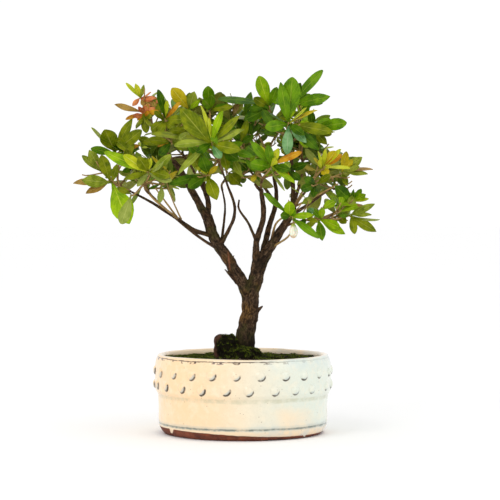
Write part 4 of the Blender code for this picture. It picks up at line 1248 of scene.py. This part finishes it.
def leaf_finish(name, dark, light, rib, roughness, gloss, relief):
    """Leathery leaf skin: two close tints in soft clouds, a paler midrib and faint side veins."""
    finish, shader, place = new_finish(name, Specular_IOR_Level=0.08, Coat_Weight=gloss,
                                       Coat_Roughness=0.25)
    flat = place.node.outputs["UV"]
    along, across, _ = step("SeparateXYZ", {0: flat}).outputs
    off = reckon("ABSOLUTE", reckon("SUBTRACT", across, 0.5))
    cloud = grainy(place, 9, 3)
    fleck = grainy(place, 1.4, 3, 0.6)
    colour = blend_colours(fade(cloud, 0.34, 0.66), dark, light)
    colour = blend_colours(fade(fleck, 0.5, 0.8, 0, 0.35), colour, light)
    slant = reckon("SUBTRACT", along, reckon("MULTIPLY", off, 0.75))
    vein = reckon("SINE", reckon("MULTIPLY", slant, 50))
    colour = blend_colours(fade(vein, 0.75, 1.0, 0, 0.22), colour, rib)
    middle = fade(off, 0.045, 0.012)
    colour = blend_colours(reckon("MULTIPLY", middle, 0.7), colour, rib)
    height = reckon("SUBTRACT", reckon("MULTIPLY", vein, -0.3), middle)
    dull = fade(cloud, 0.3, 0.7, roughness - 0.06, roughness + 0.08)
    wire(shader, Base_Color=colour, Roughness=dull, Normal=raised(height, relief, raised(fleck, 0.12)))
    return finish


GLOSS = {"teal": 0.5, "green": 0.06}
for tint, rows in leaf_rows.items():
    dark, light, rib, under_dark, under_light = (chip(*paint) for paint in TINTS[tint])
    upper = leaf_finish("leaf_" + tint, dark, light, rib, 0.36, GLOSS.get(tint, 0.02), 0.25)
    under = leaf_finish("leaf_under_" + tint, under_dark, under_light, rib, 0.62, 0.0, 0.2)
    leaf_piece("leaves_" + tint, rows, upper, under)

# ---- The flower bud
# One white bud hangs from the low front shoot, its petals still rolled about each other.
BUD_POINT = Vector((47, -40, 192)) * MM
BUD_HALF = (4.4, 4.4, 7.0)
bpy.ops.mesh.primitive_uv_sphere_add(segments=60, ring_count=32, radius=1)
bud = name_piece("flower_bud")
spots = points_of(bud)
high = spots[:, 2]
angle = np.arctan2(spots[:, 1], spots[:, 0])
roll = ((angle / math.tau * 5 + high * 0.5) % 1)
petal = 1 + 0.16 * roll * (1 - high ** 2)
narrow = 0.80 + 0.2 * np.clip(-high, -1, 1)
spots[:, 0] *= BUD_HALF[0] * petal * narrow
spots[:, 1] *= BUD_HALF[1] * petal * narrow
spots[:, 2] *= BUD_HALF[2]
move_points(bud, spots * MM + np.array(BUD_POINT))
bpy.ops.object.shade_smooth_by_angle(angle=math.radians(40))
petals, shader, place = new_finish("white_petals", Roughness=0.45, Subsurface_Weight=0.25,
                                  Subsurface_Scale=0.002)
z = step("SeparateXYZ", {0: place}).outputs[2]
streak = grainy(stretched(place, (1, 1, 0.2)), 0.9, 3)
colour = blend_colours(fade(streak, 0.35, 0.7), chip(250, 248, 232), chip(228, 224, 186))
colour = coat(colour, fade(z, BUD_POINT.z + 2.5 * MM, BUD_POINT.z + 5.2 * MM, 0, 0.95), (170, 186, 70))
colour = coat(colour, fade(z, BUD_POINT.z - 3 * MM, BUD_POINT.z - 5.5 * MM, 0, 0.7), (206, 176, 138))
wire(shader, Base_Color=colour, Normal=raised(streak, 0.2))
bud.data.materials.append(petals)
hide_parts("foliage_low_front")
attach(bud, "root")

stalk_top = shoots["foliage_low_front"][0][0][-1]
stalk_foot = BUD_POINT + UP * 5 * MM
stalk_path = bezier(stalk_top, stalk_top + UP * 3 * MM, BUD_POINT + UP * 14 * MM, stalk_foot, 8)
stalk_run = tapered(stalk_path, 0.6, 0)
stalk = drawn_tubes("bud_stalk", [stalk_run], 2)
follow_grain(stalk, [stalk_run], 0.0)
stalk.data.materials.clear()
stalk.data.materials.append(young_bark)
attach(stalk, "root")

# ---- Moss
# Cushions of living moss hold the earth about the trunk's foot and lean on the stump, and
# thinner patches creep over the soil towards the rim.
MOSS_HEAPS = (  # centre and half sizes in mm
    ((-2, -2, 69.4), (21, 19, 13)),
    ((-12, -3, 74), (9.5, 11, 18)),
    ((-17, -4.5, 80), (7.6, 7.5, 13)),
)
MOSS_LOW = 67.5  # the heaps are cut flat here, within the soil
TUFTS = 2300
CREEPING_TUFTS = 5200
heaps = []
for centre, half in MOSS_HEAPS:
    bpy.ops.mesh.primitive_uv_sphere_add(segments=32, ring_count=20, radius=1, location=Vector(centre) * MM)
    bpy.context.object.scale = [v * MM for v in half]
    heaps.append(bpy.context.object)
select_only(*heaps)
bpy.ops.object.join()
moss = name_piece("moss_cushion")
bpy.ops.object.transform_apply(location=True, rotation=True, scale=True)
apply_modifier(moss, "REMESH", mode="VOXEL", voxel_size=0.9 * MM)
bpy.ops.object.mode_set(mode="EDIT")
bpy.ops.mesh.select_all(action="SELECT")
bpy.ops.mesh.bisect(plane_co=(0, 0, MOSS_LOW * MM), plane_no=(0, 0, -1), clear_outer=True, use_fill=True)
bpy.ops.object.mode_set(mode="OBJECT")
apply_modifier(moss, "SMOOTH", factor=0.5, iterations=3)
uneven(moss, 5, 3.4)
uneven(moss, 1.6, 1.0)
bpy.ops.object.shade_smooth_by_angle(angle=math.radians(60))


def moss_finish(name, dark, light, tip):
    """Living moss of two tints, with paler tips here and there."""
    finish, shader, place = new_finish(name, Roughness=0.9, Specular_IOR_Level=0.2)
    colour = blend_colours(fade(grainy(place, 5, 4), 0.36, 0.64), chip(*dark), chip(*light))
    colour = coat(colour, fade(grainy(place, 1.2, 3), 0.52, 0.7, 0, 0.8), tip)
    wire(shader, Base_Color=colour, Normal=raised(grainy(place, 0.6, 3), 0.5))
    return finish


moss.data.materials.append(moss_finish("moss_shade", (12, 9, 5), (26, 24, 8), (44, 28, 16)))
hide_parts("moss")
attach(moss, "root")

# Each tuft is a few pointed stems. On the cushion, tufts facing up mostly take the bright tint as painted
# light and the rest the dark tint as painted shade; on the creeping patches the two tints fall at random.
stems = []
for number in range(5):
    bpy.ops.mesh.primitive_cone_add(vertices=3, radius1=0.16, radius2=0, depth=1, end_fill_type="NOTHING",
                                    location=(0, 0, 0.5))
    bpy.ops.transform.rotate(value=0.75, orient_axis="Y", center_override=(0, 0, 0))
    bpy.ops.transform.rotate(value=number * math.tau / 5, orient_axis="Z", center_override=(0, 0, 0))
    stems.append(bpy.context.object)
select_only(*stems)
bpy.ops.object.join()
tuft = name_piece("tuft")
bpy.ops.object.transform_apply(location=True, rotation=True, scale=True)
dice = random.Random(21)
cushion = [(face.center.copy(), face.normal.copy(), face.area)
           for face in moss.data.polygons if face.normal.z > -0.2]
picked = dice.choices(cushion, [area for _, _, area in cushion], k=TUFTS)
bright, dull = [], []
for point, normal, _ in picked:
    size = dice.uniform(1.0, 2.1) * MM
    turn = normal.to_track_quat("Z", "Y").to_matrix().to_4x4() @ Matrix.Rotation(dice.uniform(0, 6), 4, "Z")
    tall = Matrix.Diagonal((size, size, size * dice.uniform(0.9, 1.5), 1))
    placing = Matrix.Translation(point) @ turn @ tall
    lit = normal.z > 0.35 and noise.noise(point / (6 * MM)) > -0.1
    (bright if lit and dice.random() < 0.75 else dull).append(placing)
for px, py, pz, roll in ground_spots(33, CREEPING_TUFTS, 14, 74):
    lush = px < -26 or 12 < px < 32 or 46 < px < 54  # thick patches to the left and beside the trunk
    bald = 0.25 if py < -20 and abs(px) < 35 else 0
    creep = waver(px, py, 0, 13) + 0.006 * abs(px) - bald
    if creep > (-0.1 if lush else 0.12):
        size = roll.uniform(0.8, 1.9) * MM * (1.9 if lush and py < 20 else 1)
        turned = Matrix.Rotation(roll.uniform(0, 6), 4, "Z")
        tall = Matrix.Diagonal((size, size, size * 1.3, 1))
        placing = Matrix.Translation((px * MM, py * MM, pz * MM)) @ turned @ tall
        (bright if roll.random() < 0.6 else dull).append(placing)
moss_green_and_lit = moss_finish("moss_green_and_lit", (52, 66, 12), (96, 112, 24), (164, 170, 62))
moss_brown_and_shaded = moss_finish("moss_brown_and_shaded", (18, 16, 6), (38, 40, 10), (62, 42, 24))
for name, placings, finish in (("moss_bright_and_lit", bright, moss_green_and_lit), ("moss_dull_and_shaded", dull, moss_brown_and_shaded)):
    cushion_part = scattered(name, tuft, placings)
    cushion_part.data.materials.append(finish)
    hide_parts("moss")
    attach(cushion_part, "root")
bpy.data.objects.remove(tuft)

# ---- Studio
# A pale floor, an even white surround and two broad soft lights.
bpy.ops.mesh.primitive_plane_add(size=40, location=(0, 0, -0.3 * MM))
floor = name_piece("studio_floor")
bpy.ops.object.transform_apply(location=True, rotation=True, scale=True)
paper, shader, _ = new_finish("pale_paper", Roughness=0.9)
shader.inputs["Base Color"].default_value = (0.96, 0.96, 0.96, 1)
floor.data.materials.append(paper)


def soft_light(name, place, aim, size, power, colour):
    light = bpy.data.lights.new(name, "AREA")
    light.size = size
    light.energy = power
    light.color = colour
    holder = linked(name, light)
    holder.location = place
    holder.rotation_euler = (Vector(aim) - Vector(place)).to_track_quat("-Z", "Y").to_euler()


soft_light("window", (-0.9, -1.2, 1.2), (0, 0, 0.18), 0.7, 5.5, (1.0, 0.96, 0.90))
soft_light("fill", (1.3, -0.9, 0.7), (0, 0, 0.15), 0.9, 1.8, (0.92, 0.97, 1.0))
world = bpy.data.worlds.new("white_room")
world.use_nodes = True
world.node_tree.nodes["Background"].inputs[0].default_value = (1, 1, 1, 1)
world.node_tree.nodes["Background"].inputs[1].default_value = 1.04
bpy.context.scene.world = world
bpy.context.scene.view_settings.view_transform = "Standard"

camera = bpy.data.cameras.new("camera")
camera.lens = 144
camera.sensor_width = 36
camera.clip_end = 100
viewer = linked("camera", camera)
viewer.location = EYE
EYE_DIP = 1.23  # degrees below level
viewer.rotation_euler = (math.radians(90 - EYE_DIP), 0, 0)
bpy.context.scene.camera = viewer
